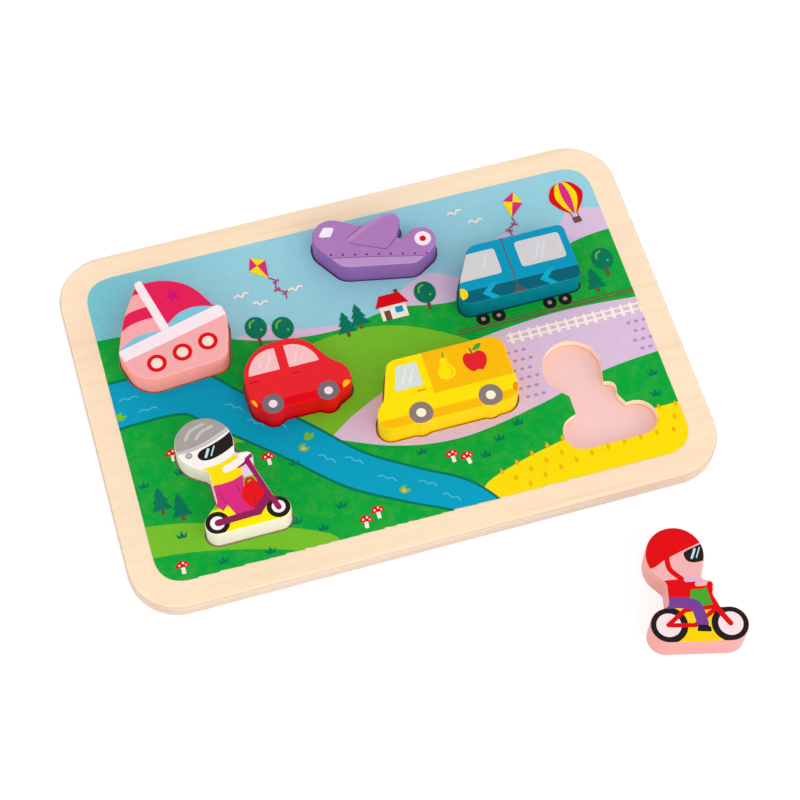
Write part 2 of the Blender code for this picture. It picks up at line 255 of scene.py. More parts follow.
def make_wood(name, light, dark, fleck):
    """Bare sanded wood: streaks from light to dark, and rings and flecks in the third colour."""
    wood, tree, surface = new_material(name)
    place = add_node(tree, "ShaderNodeTexCoord").outputs["Object"]
    streaks = stretched_noise(tree, place, STREAK_LONG, STREAK_WIDE, Detail=3.0, Distortion=0.9)
    rings = stretched_noise(tree, place, RING_LONG, RING_WIDE, Detail=1.0, Distortion=0.5)
    pores = stretched_noise(tree, place, FLECK_LONG, FLECK_WIDE, Detail=2.0)
    tone = toned_with(tree, linear(light), streaks, linear(dark), STREAKS_SHOW)
    crests = add_node(tree, "ShaderNodeMapRange", {"Value": rings, **RINGS_SHOW}).outputs[0]
    spots = add_node(tree, "ShaderNodeMapRange", {"Value": pores, **FLECKS_SHOW}).outputs[0]
    marks = add_node(tree, "ShaderNodeMath", {0: crests, 1: spots}, operation="MAXIMUM").outputs[0]
    mixed = {0: marks, MIX_A: tone, MIX_B: linear(fleck)}
    colour = add_node(tree, "ShaderNodeMix", mixed, data_type="RGBA").outputs[MIX_RESULT]
    join_shader(tree, surface, colour, streaks, WOOD_ROUGH, pores, WOOD_RELIEF, WOOD_GLOSS)
    return wood


panel_wood = make_wood("Sanded plywood, upper layer", "#FEE4C3", "#FADDBB", "#F2CFA4")
base_wood = make_wood("Sanded plywood, lower layer", "#FEE8D2", "#FADFC3", "#F2D0B0")
# The edge woods are darker than the sanded faces: partly the plywood's real sawn end grain, partly
# painted shade that dims the board's sides and its rounded-over rim.
panel_edge_and_shade = make_wood("Sawn plywood edge with painted shade, upper layer", "#DCC5AE", "#D4B9A1", "#C8A88F")
base_edge_and_shade = make_wood("Sawn plywood edge with painted shade, lower layer", "#DAC6B6", "#D2BBA9", "#C6AB97")
glue = make_wood("Glue line", "#C9A68C", "#BC977C", "#B08B70")
print("woods", panel_wood.name, base_wood.name)

# %% [markdown]
# ## Paint and ink
#
# The pieces are dipped or sprayed with a satin water-based paint. It is even, a little shiny, and
# lets the wood's grain stand through as a soft relief. The prints are screen ink: thinner and duller,
# with the slight clouding and fine speckle of ink on sanded wood. The greens and the sky have a
# second tone dabbed over the first in patches about 7 mm wide, and the sky deepens to its left end.
# Both coatings are plain dielectrics with an IOR near 1.5, so only roughness, shine and relief tell
# them apart.

# %% Helper for a coat of paint or ink
CLOUD, SPECKLE, DAB = 5.0 * MM, 0.55 * MM, 7.0 * MM
GRAIN_WIDE, GRAIN_LONG = 0.7 * MM, 14.0 * MM
CLOUDS_SHOW = {"From Min": 0.32, "From Max": 0.70}
DABS_SHOW = {"From Min": 0.45, "From Max": 0.75}
SPECKLES_SHOW = {"From Min": 0.50, "From Max": 0.74}
SMOOTHER, ROUGHER = 0.05, 0.07
PAINT = {"clouding": 0.03, "speckling": 0.05, "roughness": 0.40, "shine": 0.10, "relief": 0.05 * MM}
INK = {"clouding": 0.04, "speckling": 0.09, "roughness": 0.52, "shine": 0.07, "relief": 0.03 * MM}


def make_coating(name, hex_colour, kind, dabs=None, deepening=None):
    """A coat of one colour, clouded and speckled, with a second tone dabbed on or fading in."""
    coating, tree, surface = new_material(name)
    colour = linear(hex_colour)
    place = add_node(tree, "ShaderNodeTexCoord").outputs["Object"]
    clouds = stretched_noise(tree, place, CLOUD, CLOUD, Detail=3.0)
    dots = stretched_noise(tree, place, SPECKLE, SPECKLE, Detail=1.0)
    grain = stretched_noise(tree, place, GRAIN_LONG, GRAIN_WIDE, Detail=2.0)
    toned = toned_with(tree, colour, clouds, darker(colour, kind["clouding"]), CLOUDS_SHOW)
    if dabs:
        hex_dab, most = dabs
        patches = stretched_noise(tree, place, DAB, DAB, Detail=6.0, Roughness=0.76)
        toned = toned_with(tree, toned, patches, linear(hex_dab), {**DABS_SHOW, "To Max": most})
    if deepening:
        hex_deep, deepest, plain = deepening
        across = add_node(tree, "ShaderNodeSeparateXYZ", {"Vector": place}).outputs["X"]
        fading = {"From Min": deepest * MM, "From Max": plain * MM, "To Min": 1.0, "To Max": 0.0}
        toned = toned_with(tree, toned, across, linear(hex_deep), fading)
    toned = toned_with(tree, toned, dots, darker(colour, kind["speckling"]), SPECKLES_SHOW)
    rough = {"To Min": kind["roughness"] - SMOOTHER, "To Max": kind["roughness"] + ROUGHER}
    relief = {"Strength": 0.3, "Distance": kind["relief"]}
    gloss = {"IOR": 1.5, "Specular IOR Level": kind["shine"]}
    join_shader(tree, surface, toned, clouds, rough, grain, relief, gloss)
    return coating


print("coats", PAINT, INK)

# %% Paints and inks to choose from
def satin_paint(name, hex_colour):
    return make_coating("Satin paint, " + name, hex_colour, PAINT)


INK_COLOURS = {
    "sky": "#9AD2DF",
    "lilac": "#E0C2DE",
    "dark lilac": "#B98CC6",
    "green": "#00A63A",
    "lime": "#76C12B",
    "dark green": "#00785A",
    "yellow": "#FFE000",
    "orange": "#FBB400",
    "deep orange": "#F28C00",
    "water": "#00A2C5",
    "pale water": "#4DBDD8",
    "cream": "#FFF1E4",
    "red": "#E30613",
    "brown": "#7A4B3A",
    "pink": "#F5A9A8",
    "magenta": "#DC2C7E",
    "wine": "#931F57",
    "grey": "#A8A09C",
}
DABBED = {"green": ("#60B93A", 0.42), "lime": ("#93C62F", 0.30), "sky": ("#7DC6D6", 0.25)}
DEEPENING = {"sky": ("#72C4D1", -112.0, -45.0)}
inks = {}


def ink(name):
    """The screen ink of that name, made when it is first asked for."""
    if name not in inks:
        extras = (DABBED.get(name), DEEPENING.get(name))
        inks[name] = make_coating("Screen ink, " + name, INK_COLOURS[name], INK, *extras)
    return inks[name]


print("inks to choose from:", len(INK_COLOURS))

# %% [markdown]
# ## Working copies
#
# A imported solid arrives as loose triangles, which shade as facets. A copy of it is merged into one
# skin, its flat faces are joined again, and edges sharper than an angle are kept crisp while the
# rest shade as one curve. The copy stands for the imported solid, which is then hidden.

# %% Helpers for selecting, copying and shading
MERGE = 0.002 * MM
ONE_PLANE = math.radians(0.5)
SHARP_ON_BOARD, SHARP_ON_PIECE = math.radians(35.0), math.radians(50.0)


def select_only(*things):
    bpy.ops.object.select_all(action="DESELECT")
    for thing in things:
        thing.select_set(True)
    bpy.context.view_layer.objects.active = things[0]


def copy_of_node(node_name, piece_name):
    """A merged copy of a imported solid, with its flat faces whole and no materials."""
    piece = bpy.data.objects.new(piece_name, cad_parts[node_name].data.copy())
    bpy.context.scene.collection.objects.link(piece)
    piece.data.materials.clear()
    select_only(piece)
    bpy.ops.mesh.customdata_custom_splitnormals_clear()
    bpy.ops.object.mode_set(mode="EDIT")
    bpy.ops.mesh.select_all(action="SELECT")
    bpy.ops.mesh.remove_doubles(threshold=MERGE)
    bpy.ops.mesh.dissolve_limited(angle_limit=ONE_PLANE)
    bpy.ops.object.mode_set(mode="OBJECT")
    return piece


def shade(piece, sharp_angle):
    """Smooth shading that keeps edges over an angle crisp, and large faces flat."""
    select_only(piece)
    bpy.ops.object.shade_smooth_by_angle(angle=sharp_angle)
    weighted = piece.modifiers.new("Flat faces stay flat", "WEIGHTED_NORMAL")
    weighted.keep_sharp = True
    bpy.ops.object.modifier_apply(modifier=weighted.name)


def dress(piece, body):
    """Say what the piece moves with."""
    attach(piece, body)


print("copies merge points closer than", MERGE, "m")

# %% [markdown]
# ## The board
#
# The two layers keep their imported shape. A thin line of glue shows between them, set back a little
# from the edge because it is wiped before it dries. The cut-outs' outlines are read from the upper
# layer's own top face, so that floors, glue and picture follow them exactly.

# %% Outlines of the board and its cut-outs
LEVEL, SAME_HEIGHT = 0.99, 0.01


def rim_loops(piece, height):
    """The closed outlines round the flat faces at a height, as lists of (x, y) in millimetres."""
    mesh = piece.data
    flat = set()
    for face in mesh.polygons:
        if abs(face.normal.z) > LEVEL and abs(face.center.z / MM - height) < SAME_HEIGHT:
            flat.add(face.index)
    uses = {}
    for face in mesh.polygons:
        if face.index in flat:
            for pair in face.edge_keys:
                uses[pair] = uses.get(pair, 0) + 1
    follows = {}
    for (start, end), times in uses.items():
        if times == 1:
            follows.setdefault(start, []).append(end)
            follows.setdefault(end, []).append(start)
    loops = []
    while follows:
        first = next(iter(follows))
        loop, here, before = [], first, None
        while here in follows:
            ahead = [other for other in follows.pop(here) if other != before]
            loop.append(here)
            before, here = here, ahead[0]
        loops.append([tuple(mesh.vertices[index].co[:2]) for index in loop])
    return [[(x / MM, y / MM) for x, y in loop] for loop in loops]


def spread(loop):
    return max(x for x, _ in loop) - min(x for x, _ in loop)


def middle(loop):
    xs = [x for x, _ in loop]
    ys = [y for _, y in loop]
    return Vector(((min(xs) + max(xs)) / 2.0, (min(ys) + max(ys)) / 2.0))


base_board = copy_of_node("base_panel", "base_board")
picture_board = copy_of_node("picture_panel", "picture_board")
base_outline = max(rim_loops(base_board, BASE_TOP), key=spread)
cut_outs = sorted(rim_loops(picture_board, PANEL_TOP), key=spread)[:-1]
print("cut-outs", len(cut_outs), "points", [len(loop) for loop in cut_outs])

# %% Helper that draws a flat shape with some height
def drawn(name, outlines, low, high, filled=True):
    """A flat curve through each outline, given height, as a mesh. An outline in another is a hole."""
    curve = bpy.data.curves.new(name, "CURVE")
    curve.dimensions = "2D"
    curve.fill_mode = "BOTH" if filled else "NONE"
    curve.extrude = (high - low) / 2.0 * MM
    for outline in outlines:
        spline = curve.splines.new("POLY")
        spline.points.add(len(outline) - 1)
        for knot, (x, y) in zip(spline.points, outline):
            knot.co = (x * MM, y * MM, 0.0, 1.0)
        spline.use_cyclic_u = True
    thing = bpy.data.objects.new(name, curve)
    bpy.context.scene.collection.objects.link(thing)
    select_only(thing)
    bpy.ops.object.convert(target="MESH")
    thing.data.transform(Matrix.Translation((0.0, 0.0, (low + high) / 2.0 * MM)))
    bpy.ops.object.mode_set(mode="EDIT")
    bpy.ops.mesh.select_all(action="SELECT")
    bpy.ops.mesh.remove_doubles(threshold=MERGE)
    if filled:
        bpy.ops.mesh.normals_make_consistent(inside=False)
    bpy.ops.object.mode_set(mode="OBJECT")
    return thing


print("the board's outline is", spread(base_outline), "mm wide")

# %% The two layers and the glue between them
GLUE_SET_BACK = 0.25
CUT_OUTS_WITHIN = (119.0 * MM, 78.0 * MM)
UPRIGHT = 0.95


def dress_layer(layer, node, flat_wood, sawn_wood_and_shade):
    """One layer of the board: sanded faces, and all round outside the picture a darker wood on the sawn
    edge and rounded rim, partly real end grain and partly painted shade.
    """
    layer.data.materials.append(flat_wood)
    layer.data.materials.append(sawn_wood_and_shade)
    for face in layer.data.polygons:
        wide, high = abs(face.center.x), abs(face.center.y)
        outside = wide > CUT_OUTS_WITHIN[0] or high > CUT_OUTS_WITHIN[1]
        # The sides and the rounded-over rim outside the picture take the darker edge wood, which is
        # partly painted shade.
        if outside and abs(face.normal.z) < UPRIGHT:
            face.material_index = 1
    shade(layer, SHARP_ON_BOARD)
    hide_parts(node)
    dress(layer, "board")


dress_layer(base_board, "base_panel", base_wood, base_edge_and_shade)
dress_layer(picture_board, "picture_panel", panel_wood, panel_edge_and_shade)

board_reach = spread(base_outline) / 2.0
shrink = 1.0 - GLUE_SET_BACK / board_reach
glue_outline = [(x * shrink, y * shrink) for x, y in base_outline]
glue_line = drawn("glue_line", [glue_outline, *cut_outs], BASE_TOP, PANEL_BOTTOM)
glue_line.data.materials.append(glue)
dress(glue_line, "board")
print("glue line", PANEL_BOTTOM - BASE_TOP, "mm thick")

# %% [markdown]
# ## Floors of the cut-outs
#
# Before the layers are glued, the lower one is painted where the cut-outs come, each floor in a
# pale tone of its own piece. The empty one in front shows it. Each floor is a thin film of paint
# with the cut-out's outline.

# %% Painted floors
FILM = 0.02
NEAR_ENOUGH = 12.0
FLOOR_COLOURS = {
    "boat": "#FBD2CE",
    "aeroplane": "#D6C0E2",
    "train": "#97D0DC",
    "car": "#F8B4AE",
    "van": "#FFEFA0",
    "scooter_rider": "#F8F1E5",
    "bicycle_rider": "#FFD3CE",
}


def nearest_body(loop):
    """The piece that stands in a cut-out; the one with nobody in it is the cyclist's."""
    closest, body = NEAR_ENOUGH, "bicycle_rider"
    for name in FLOOR_COLOURS:
        low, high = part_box(name + "_piece")
        stands = Vector((low.x + high.x, low.y + high.y)) / 2.0 / MM
        away = (stands - middle(loop)).length
        if away < closest:
            closest, body = away, name
    return body


for loop in cut_outs:
    body = nearest_body(loop)
    floor = drawn("floor_" + body, [loop], BASE_TOP, BASE_TOP + FILM)
    floor.data.materials.append(satin_paint("floor " + body, FLOOR_COLOURS[body]))
    dress(floor, "board")
    print("floor of", body, "at", tuple(round(value, 1) for value in middle(loop)))

# %% [markdown]
# ## Shapes to draw with
#
# A print is made of simple closed outlines: circles, rounded boxes, strokes with round ends and free
# curves through a few knots. Each helper gives the outline's points in millimetres.

# %% Ovals and curves for the prints
def oval(x, y, wide, high=None, tilt=0.0, count=28):
    """A circle, or an oval when it has a height of its own; the sizes are radii."""
    high = wide if high is None else high
    turn = math.radians(tilt)
    points = []
    for number in range(count):
        angle = math.tau * number / count
        along, up = wide * math.cos(angle), high * math.sin(angle)
        points.append((
            x + along * math.cos(turn) - up * math.sin(turn),
            y + along * math.sin(turn) + up * math.cos(turn),
        ))
    return points


def curve_through(knots, steps=8, closed=False):
    """A smooth line through the knots (Catmull-Rom)."""
    count = len(knots)
    spans = count if closed else count - 1
    points = []
    for span in range(spans):
        around = []
        for offset in (-1, 0, 1, 2):
            index = span + offset
            around.append(knots[index % count] if closed else knots[min(max(index, 0), count - 1)])
        for number in range(steps):
            t = number / steps
            point = []
            for a, b, c, d in zip(*around):
                bend = 2 * a - 5 * b + 4 * c - d
                whip = 3 * (b - c) + d - a
                point.append(b + 0.5 * t * (c - a + t * (bend + t * whip)))
            points.append(tuple(point))
    if not closed:
        points.append(tuple(knots[-1]))
    return points


print("a circle has", len(oval(0.0, 0.0, 1.0)), "points")

# %% Strokes and corners for the prints
def sides(path, wide_start, wide_end):
    """The two edges of a ribbon along a path, whose width runs from one value to another."""
    left, right = [], []
    last = len(path) - 1
    for index, (x, y) in enumerate(path):
        ahead = Vector(path[min(index + 1, last)]) - Vector(path[max(index - 1, 0)])
        wide = wide_start + (wide_end - wide_start) * index / last
        side = Vector((-ahead.y, ahead.x)).normalized() * wide / 2.0
        left.append((x + side.x, y + side.y))
        right.append((x - side.x, y - side.y))
    return left, right


def stroke(path, wide, ends=5):
    """The outline of a line of a given width along a path, with round ends."""
    left, right = sides(path, wide, wide)
    caps = []
    for tip, start in ((path[-1], left[-1]), (path[0], right[0])):
        arm = Vector(start) - Vector(tip)
        cap = []
        for number in range(1, ends):
            angle = -math.pi * number / ends
            swung = Matrix.Rotation(angle, 2) @ arm
            cap.append((tip[0] + swung.x, tip[1] + swung.y))
        caps.append(cap)
    return left + caps[0] + right[::-1] + caps[1]


def rounded(corners, radius, steps=4):
    """A polygon whose corners are rounded off; its corners go anticlockwise or clockwise."""
    points = []
    for index, corner in enumerate(corners):
        here = Vector(corner)
        before = (Vector(corners[index - 1]) - here).normalized()
        after = (Vector(corners[(index + 1) % len(corners)]) - here).normalized()
        half = math.acos(max(-1.0, min(1.0, before.dot(after)))) / 2.0
        reach = radius / math.tan(half)
        start, end = here + before * reach, here + after * reach
        for number in range(steps + 1):
            t = number / steps
            spot = start * (1 - t) ** 2 + here * 2 * t * (1 - t) + end * t ** 2
            points.append((spot.x, spot.y))
    return points


def box(left, bottom, right, top):
    return [(left, bottom), (right, bottom), (right, top), (left, top)]


print("a short stroke has", len(stroke([(0.0, 0.0), (1.0, 0.0)], 0.5)), "points")

# %% [markdown]
# ## Printing on a piece
#
# A print has no thickness worth drawing, so it becomes part of the piece's own skin. Upright ribbons
# stand on every outline of the print and are cut into the top, which leaves new edges there; the
# ribbons are deleted. Then each small face of the top takes the ink of the last outline that holds
# its middle, as if the colours were printed one after the other. The rounded rim's upper half is
# printed with the top, and the rest keeps the paint.

# %% Helpers for cutting prints into a piece
RIBBON_DEPTH, RIBBON_HEIGHT = 1.2, 0.6


def placed(outline, place):
    """An outline drawn round a piece's own middle, put where the piece stands."""
    x0, y0, tilt = place
    turn = math.radians(tilt)
    cosine, sine = math.cos(turn), math.sin(turn)
    return [(x0 + x * cosine - y * sine, y0 + x * sine + y * cosine) for x, y in outline]


def select_slot(piece, slot):
    """Select only the faces that carry the material in a slot."""
    for face in piece.data.polygons:
        face.select = face.material_index == slot


def cut_in(piece, outlines):
    """New edges on the piece's top along the outlines."""
    top = max(vertex.co.z for vertex in piece.data.vertices) / MM
    ribbons = []
    for outline in outlines:
        ribbons.append(drawn("ribbon", [outline], top - RIBBON_DEPTH, top + RIBBON_HEIGHT, False))
    cutter_slot = len(piece.data.materials)
    marker = bpy.data.materials.new("Cutter")
    piece.data.materials.append(marker)
    for ribbon in ribbons:
        ribbon.data.materials.append(marker)
    select_only(piece, *ribbons)
    bpy.ops.object.join()
    bpy.context.tool_settings.mesh_select_mode = (False, False, True)
    select_slot(piece, cutter_slot)
    bpy.ops.object.mode_set(mode="EDIT")
    bpy.ops.mesh.intersect(mode="SELECT_UNSELECT", separate_mode="NONE", solver="EXACT")
    bpy.ops.mesh.select_all(action="DESELECT")
    bpy.ops.object.mode_set(mode="OBJECT")
    select_slot(piece, cutter_slot)
    bpy.ops.object.mode_set(mode="EDIT")
    bpy.ops.mesh.delete(type="FACE")
    bpy.ops.mesh.select_all(action="SELECT")
    bpy.ops.mesh.delete_loose()
    bpy.ops.mesh.select_all(action="SELECT")
    bpy.ops.mesh.remove_doubles(threshold=MERGE)
    bpy.ops.mesh.quads_convert_to_tris()
    bpy.ops.object.mode_set(mode="OBJECT")
    piece.data.materials.pop(index=cutter_slot)
    bpy.data.materials.remove(marker)


print("ribbons reach", RIBBON_DEPTH, "mm below the top and", RIBBON_HEIGHT, "mm above it")

# %% Helpers for inking a piece
PRINTED_SLOPE = 0.70
PAST_PIECE = 60.0


def inside(outline, x, y):
    """Whether a point lies in a closed outline, by counting the sides that a ray crosses."""
    within = False
    for index, (x1, y1) in enumerate(outline):
        x0, y0 = outline[index - 1]
        if (y0 > y) != (y1 > y) and x < x0 + (y - y0) * (x1 - x0) / (y1 - y0):
            within = not within
    return within


def print_on(piece, prints, place):
    """Cut the prints (ink name, outlines) into the piece's top and give each face its ink."""
    laid = [(name, [placed(outline, place) for outline in outlines]) for name, outlines in prints]
    everything = [outline for _, outlines in laid for outline in outlines]
    cut_in(piece, everything)
    slots = {}
    for face in piece.data.polygons:
        if face.normal.z < PRINTED_SLOPE:
            continue
        x, y = face.center.x / MM, face.center.y / MM
        chosen = None
        for name, outlines in laid:
            if sum(inside(outline, x, y) for outline in outlines) % 2:
                chosen = name
        if chosen is None:
            continue
        if chosen not in slots:
            slots[chosen] = len(piece.data.materials)
            piece.data.materials.append(ink(chosen))
        face.material_index = slots[chosen]
    return len(everything)


def everywhere(name):
    """A print that covers the whole top."""
    return (name, [box(-PAST_PIECE, -PAST_PIECE, PAST_PIECE, PAST_PIECE)])


def finish_piece(body, paint, prints, place):
    """Dress one lift-out piece: painted all over, printed on top."""
    node = body + "_piece"
    piece = copy_of_node(node, body)
    piece.data.materials.append(paint)
    count = print_on(piece, prints, place)
    shade(piece, SHARP_ON_PIECE)
    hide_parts(node)
    dress(piece, body)
    print(body, "outlines", count, "faces", len(piece.data.polygons))


print("faces that look up by more than", PRINTED_SLOPE, "can be printed")

# %% [markdown]
# ## Sailing boat
#
# The hull is pale pink with a lighter rail, a mast, a striped foresail and a full mainsail with a
# plain star. A sliver of sky shows under each sail. The portholes are red rings.

# %% Sailing boat
STAR_POINTS, STAR_WAIST = 5, 0.45
INK_COLOURS.update({
    "hull pink": "#F6ACAB",
    "rail": "#FCE7EA",
    "crimson": "#E51C55",
    "sail pink": "#F8A9AA",
    "sail sky": "#7FC4D8",
    "porthole": "#FBDDD2",
    "star": "#D00870",
})
BOAT_PLACE = (-86.0, 30.0, 14.0)

foot_of_mainsail = curve_through([
    (0.9, 8.7), (7.3, 11.3), (11.7, 11.7), (15.8, 11.0), (19.7, 9.3), (24.0, 6.6),
])
mainsail = foot_of_mainsail + [(34.0, 6.4), (34.0, 42.0), (0.9, 42.0)]
foot_of_foresail = curve_through([(-26.0, 6.6), (-20.8, 8.2), (-14.5, 9.9), (-8.2, 9.4), (-1.9, 7.4)])
foresail = foot_of_foresail + [(-1.9, 43.0), (-35.0, 43.0), (-35.0, 6.2)]
low_seam = curve_through([(-22.0, 12.6), (-18.0, 15.1), (-12.9, 16.5), (-6.5, 16.1), (-1.5, 14.7)])
mid_seam = curve_through([(-17.0, 19.4), (-13.1, 21.5), (-9.2, 22.4), (-1.3, 21.3)])
high_seam = curve_through([(-10.0, 28.2), (-6.5, 29.2), (-4.5, 29.3), (-1.1, 28.7)])
red_stripe = low_seam + mid_seam[::-1]
red_tip = high_seam + [(-1.1, 41.0), (-12.0, 41.0)]


def star(x, y, reach):
    """A plain star that stands on two of its points."""
    points = []
    for number in range(2 * STAR_POINTS):
        angle = math.pi / 2.0 + math.pi * number / STAR_POINTS
        away = reach if number % 2 == 0 else reach * STAR_WAIST
        points.append((x + away * math.cos(angle), y + away * math.sin(angle)))
    return points


boat_prints = [
    everywhere("hull pink"),
    ("sail sky", [box(-41.0, 5.0, 41.0, 46.0)]),
    ("sail pink", [foresail]),
    ("crimson", [red_stripe]),
    ("crimson", [red_tip]),
    ("crimson", [mainsail]),
    ("star", [star(10.2, 21.0, 3.6)]),
    ("rail", [[(-42.0, 1.6), (42.0, 0.8), (42.0, 7.1), (-42.0, 7.3)]]),
    ("rail", [box(-2.3, 3.4, 1.55, 47.0)]),
]
for x, y in ((-11.3, -6.0), (0.8, -6.6), (12.9, -7.2)):
    boat_prints.append(("red", [oval(x, y, 4.3)]))
    boat_prints.append(("porthole", [oval(x, y, 2.5)]))

finish_piece("boat", satin_paint("pink", "#FF9F93"), boat_prints, BOAT_PLACE)

# %% [markdown]
# ## Aeroplane
#
# One lilac body with a paler belly, a row of dark rivets and a wing drawn with thin lines. The wing's
# front edge is paler, as if it caught the light. The cockpit has one pale window, and the tail a
# round badge of plain rings.

# %% Aeroplane
INK_COLOURS.update({
    "plane lilac": "#AD7AB6",
    "plane belly": "#BB91C7",
    "wing edge": "#B787C0",
    "plane line": "#84468F",
    "rivet": "#6A2A7C",
    "badge": "#F6E9F4",
})
PLANE_PLACE = (10.0, 55.0, -11.7)

belly_line = curve_through([(-30.0, -5.6), (-19.5, -6.6), (0.0, -7.2), (14.0, -7.9), (34.0, -9.0)])
wing_front = curve_through([
    (-9.3, 2.6), (-5.7, 5.0), (-0.7, 9.3), (3.8, 12.4), (6.4, 13.9), (9.6, 14.6),
])
plane_prints = [
    everywhere("plane lilac"),
    ("plane belly", [belly_line + [(34.0, -30.0), (-30.0, -30.0)]]),
    ("plane line", [stroke(belly_line, 0.35)]),
    ("wing edge", [stroke(wing_front, 1.9)]),
    ("plane line", [stroke(curve_through([(-10.6, 3.0), (-7.0, 6.2), (-3.2, 9.6)]), 0.35)]),
    ("plane line", [stroke(curve_through([(-9.3, 0.5), (-1.2, -1.7), (6.9, -3.6)]), 0.42)]),
    ("plane line", [stroke(curve_through([(6.9, -3.6), (9.4, -0.8), (12.2, 3.0)]), 0.42)]),
]
rivets = []
for number in range(9):
    rivets.append(oval(-18.0 + 5.31 * number, -5.0 - 0.27 * number, 0.58, count=12))
plane_prints += [
    ("rivet", rivets),
    ("badge", [rounded([(-23.4, 4.4), (-17.6, 4.4), (-15.6, 9.2), (-20.4, 9.6)], 1.2)]),
    ("badge", [oval(23.4, 0.7, 3.7)]),
    ("red", [oval(23.4, 0.7, 1.5, count=20)]),
]
purple = satin_paint("purple", "#8D62AB")
finish_piece("aeroplane", purple, plane_prints, PLANE_PLACE)

# %% [markdown]
# ## Train engine
#
# A blue engine with two large pale windows, a dark band below with a light arrow stripe in each half,
# a brown joint between the halves and a yellow lamp on the nose.

# %% Train engine
INK_COLOURS.update({
    "train blue": "#0096BA",
    "train band": "#005F70",
    "train arrow": "#00AACA",
    "train glass": "#D3CFCF",
    "glass shine": "#D3DCE6",
    "joint brown": "#5E5150",
    "lamp yellow": "#F6D800",
})
TRAIN_PLACE = (67.8, 27.1, 0.0)


def arrow_stripe(x, y):
    """A stripe bent like an arrow that points left, with its tip at x, y."""
    return [
        (x, y), (x + 4.7, y + 4.2), (x + 8.1, y + 4.2), (x + 3.6, y),
        (x + 8.6, y - 4.6), (x + 5.1, y - 4.6),
    ]


joint = [
    (-2.5, 15.5), (-0.4, 15.5), (-0.7, 13.9), (-1.15, 13.0), (-1.15, -10.6), (-0.5, -12.5),
    (2.4, -14.0), (2.4, -15.4), (-5.4, -15.4), (-5.4, -14.3), (-2.4, -12.6), (-1.75, -10.6),
    (-1.75, 13.0), (-2.2, 13.9),
]
train_prints = [
    everywhere("train blue"),
    ("train glass", [rounded([(-50.0, -3.2), (-5.9, -3.0), (-5.9, 10.3), (-50.0, 10.1)], 1.6)]),
    ("train glass", [rounded(box(3.5, -2.7, 24.4, 10.7), 1.8)]),
    ("glass shine", [stroke([(14.4, 8.1), (11.0, 0.6)], 0.9)]),
    ("glass shine", [stroke([(16.9, 7.4), (13.4, 0.2)], 0.9)]),
    ("glass shine", [stroke([(23.3, 4.4), (22.2, 0.4)], 0.35)]),
    ("glass shine", [stroke([(-10.6, 7.6), (-13.2, 1.8)], 0.8)]),
    ("train band", [box(-40.0, -20.0, 40.0, -8.2)]),
    ("train arrow", [arrow_stripe(-17.6, -11.1)]),
    ("train arrow", [arrow_stripe(9.0, -10.9)]),
    ("joint brown", [joint]),
    ("lamp yellow", [oval(-26.4, -8.9, 2.6, 2.9)]),
]
finish_piece("train", satin_paint("teal", "#007A8C"), train_prints, TRAIN_PLACE)

# %% [markdown]
# ## Car
#
# A round red car seen from the side: two pale windows with quarter-round corners, a deeper red sill,
# short dark lines for the door handles, grey wheels with pale hubs, and amber lamps at both ends.

# %% Car
INK_COLOURS.update({
    "car red": "#E8222B",
    "sill red": "#E10010",
    "handle red": "#CE0815",
    "car glass": "#F8BFC0",
    "car shine": "#F9CFD3",
    "tyre": "#74696E",
    "hub": "#FBD9E1",
    "amber": "#FBB900",
})
CAR_PLACE = (-40.2, -11.6, 0.0)

rear_window = [(-18.9, 15.6), (-5.1, 15.6), (-5.0, 26.5)]
rear_window += curve_through([
    (-8.2, 26.5), (-12.0, 25.4), (-15.2, 23.1), (-17.6, 19.6), (-18.6, 17.0),
], 5)
front_window = [(12.3, 15.4), (-0.9, 15.4), (-0.8, 26.5)]
front_window += curve_through([
    (2.6, 26.3), (6.0, 25.0), (9.3, 22.3), (11.4, 19.0), (12.1, 16.6),
], 5)
car_prints = [
    everywhere("car red"),
    ("sill red", [box(-40.0, -20.0, 40.0, 1.5)]),
    ("car glass", [rear_window]),
    ("car glass", [front_window]),
    ("car shine", [stroke([(-12.2, 21.1), (-13.4, 18.6)], 0.8)]),
    ("car shine", [stroke([(-7.8, 22.6), (-10.9, 16.9)], 1.1)]),
    ("car shine", [stroke([(4.1, 22.1), (1.6, 16.9)], 1.0)]),
    ("car shine", [stroke([(6.8, 21.1), (4.9, 17.1)], 0.6)]),
    ("handle red", [stroke([(-18.6, 12.4), (-15.5, 12.4)], 0.8)]),
    ("handle red", [stroke([(-0.4, 12.2), (2.6, 12.2)], 0.8)]),
    ("amber", [oval(20.8, 0.7, 1.9, 2.2, -30.0, 20)]),
    ("amber", [oval(-19.9, 2.2, 0.9, 2.0, 18.0, 20)]),
]
for x, y in ((-12.2, 0.1), (12.3, -0.2)):
    car_prints.append(("tyre", [oval(x, y, 4.75, count=36)]))
    car_prints.append(("hub", [oval(x, y, 1.9, count=20)]))
finish_piece("car", satin_paint("red", "#D8040F"), car_prints, CAR_PLACE)

# %% [markdown]
# ## Delivery van
#
# A yellow van with a deeper yellow box and sill, one cab window with two streaks of shine, brown-grey
# wheels and an orange rear lamp. Its load is shown by a plain apple and a pear.

# %% Delivery van
INK_COLOURS.update({
    "van yellow": "#FFE200",
    "van box": "#FCBB00",
    "van glass": "#D5E2DA",
    "van shine": "#F7EBD2",
    "van tyre": "#8C7C74",
    "van hub": "#FFF3D6",
    "apple": "#E4202A",
    "leaf": "#3FA535",
    "pear shade": "#F5C800",
})
VAN_PLACE = (22.8, -33.0, 0.0)

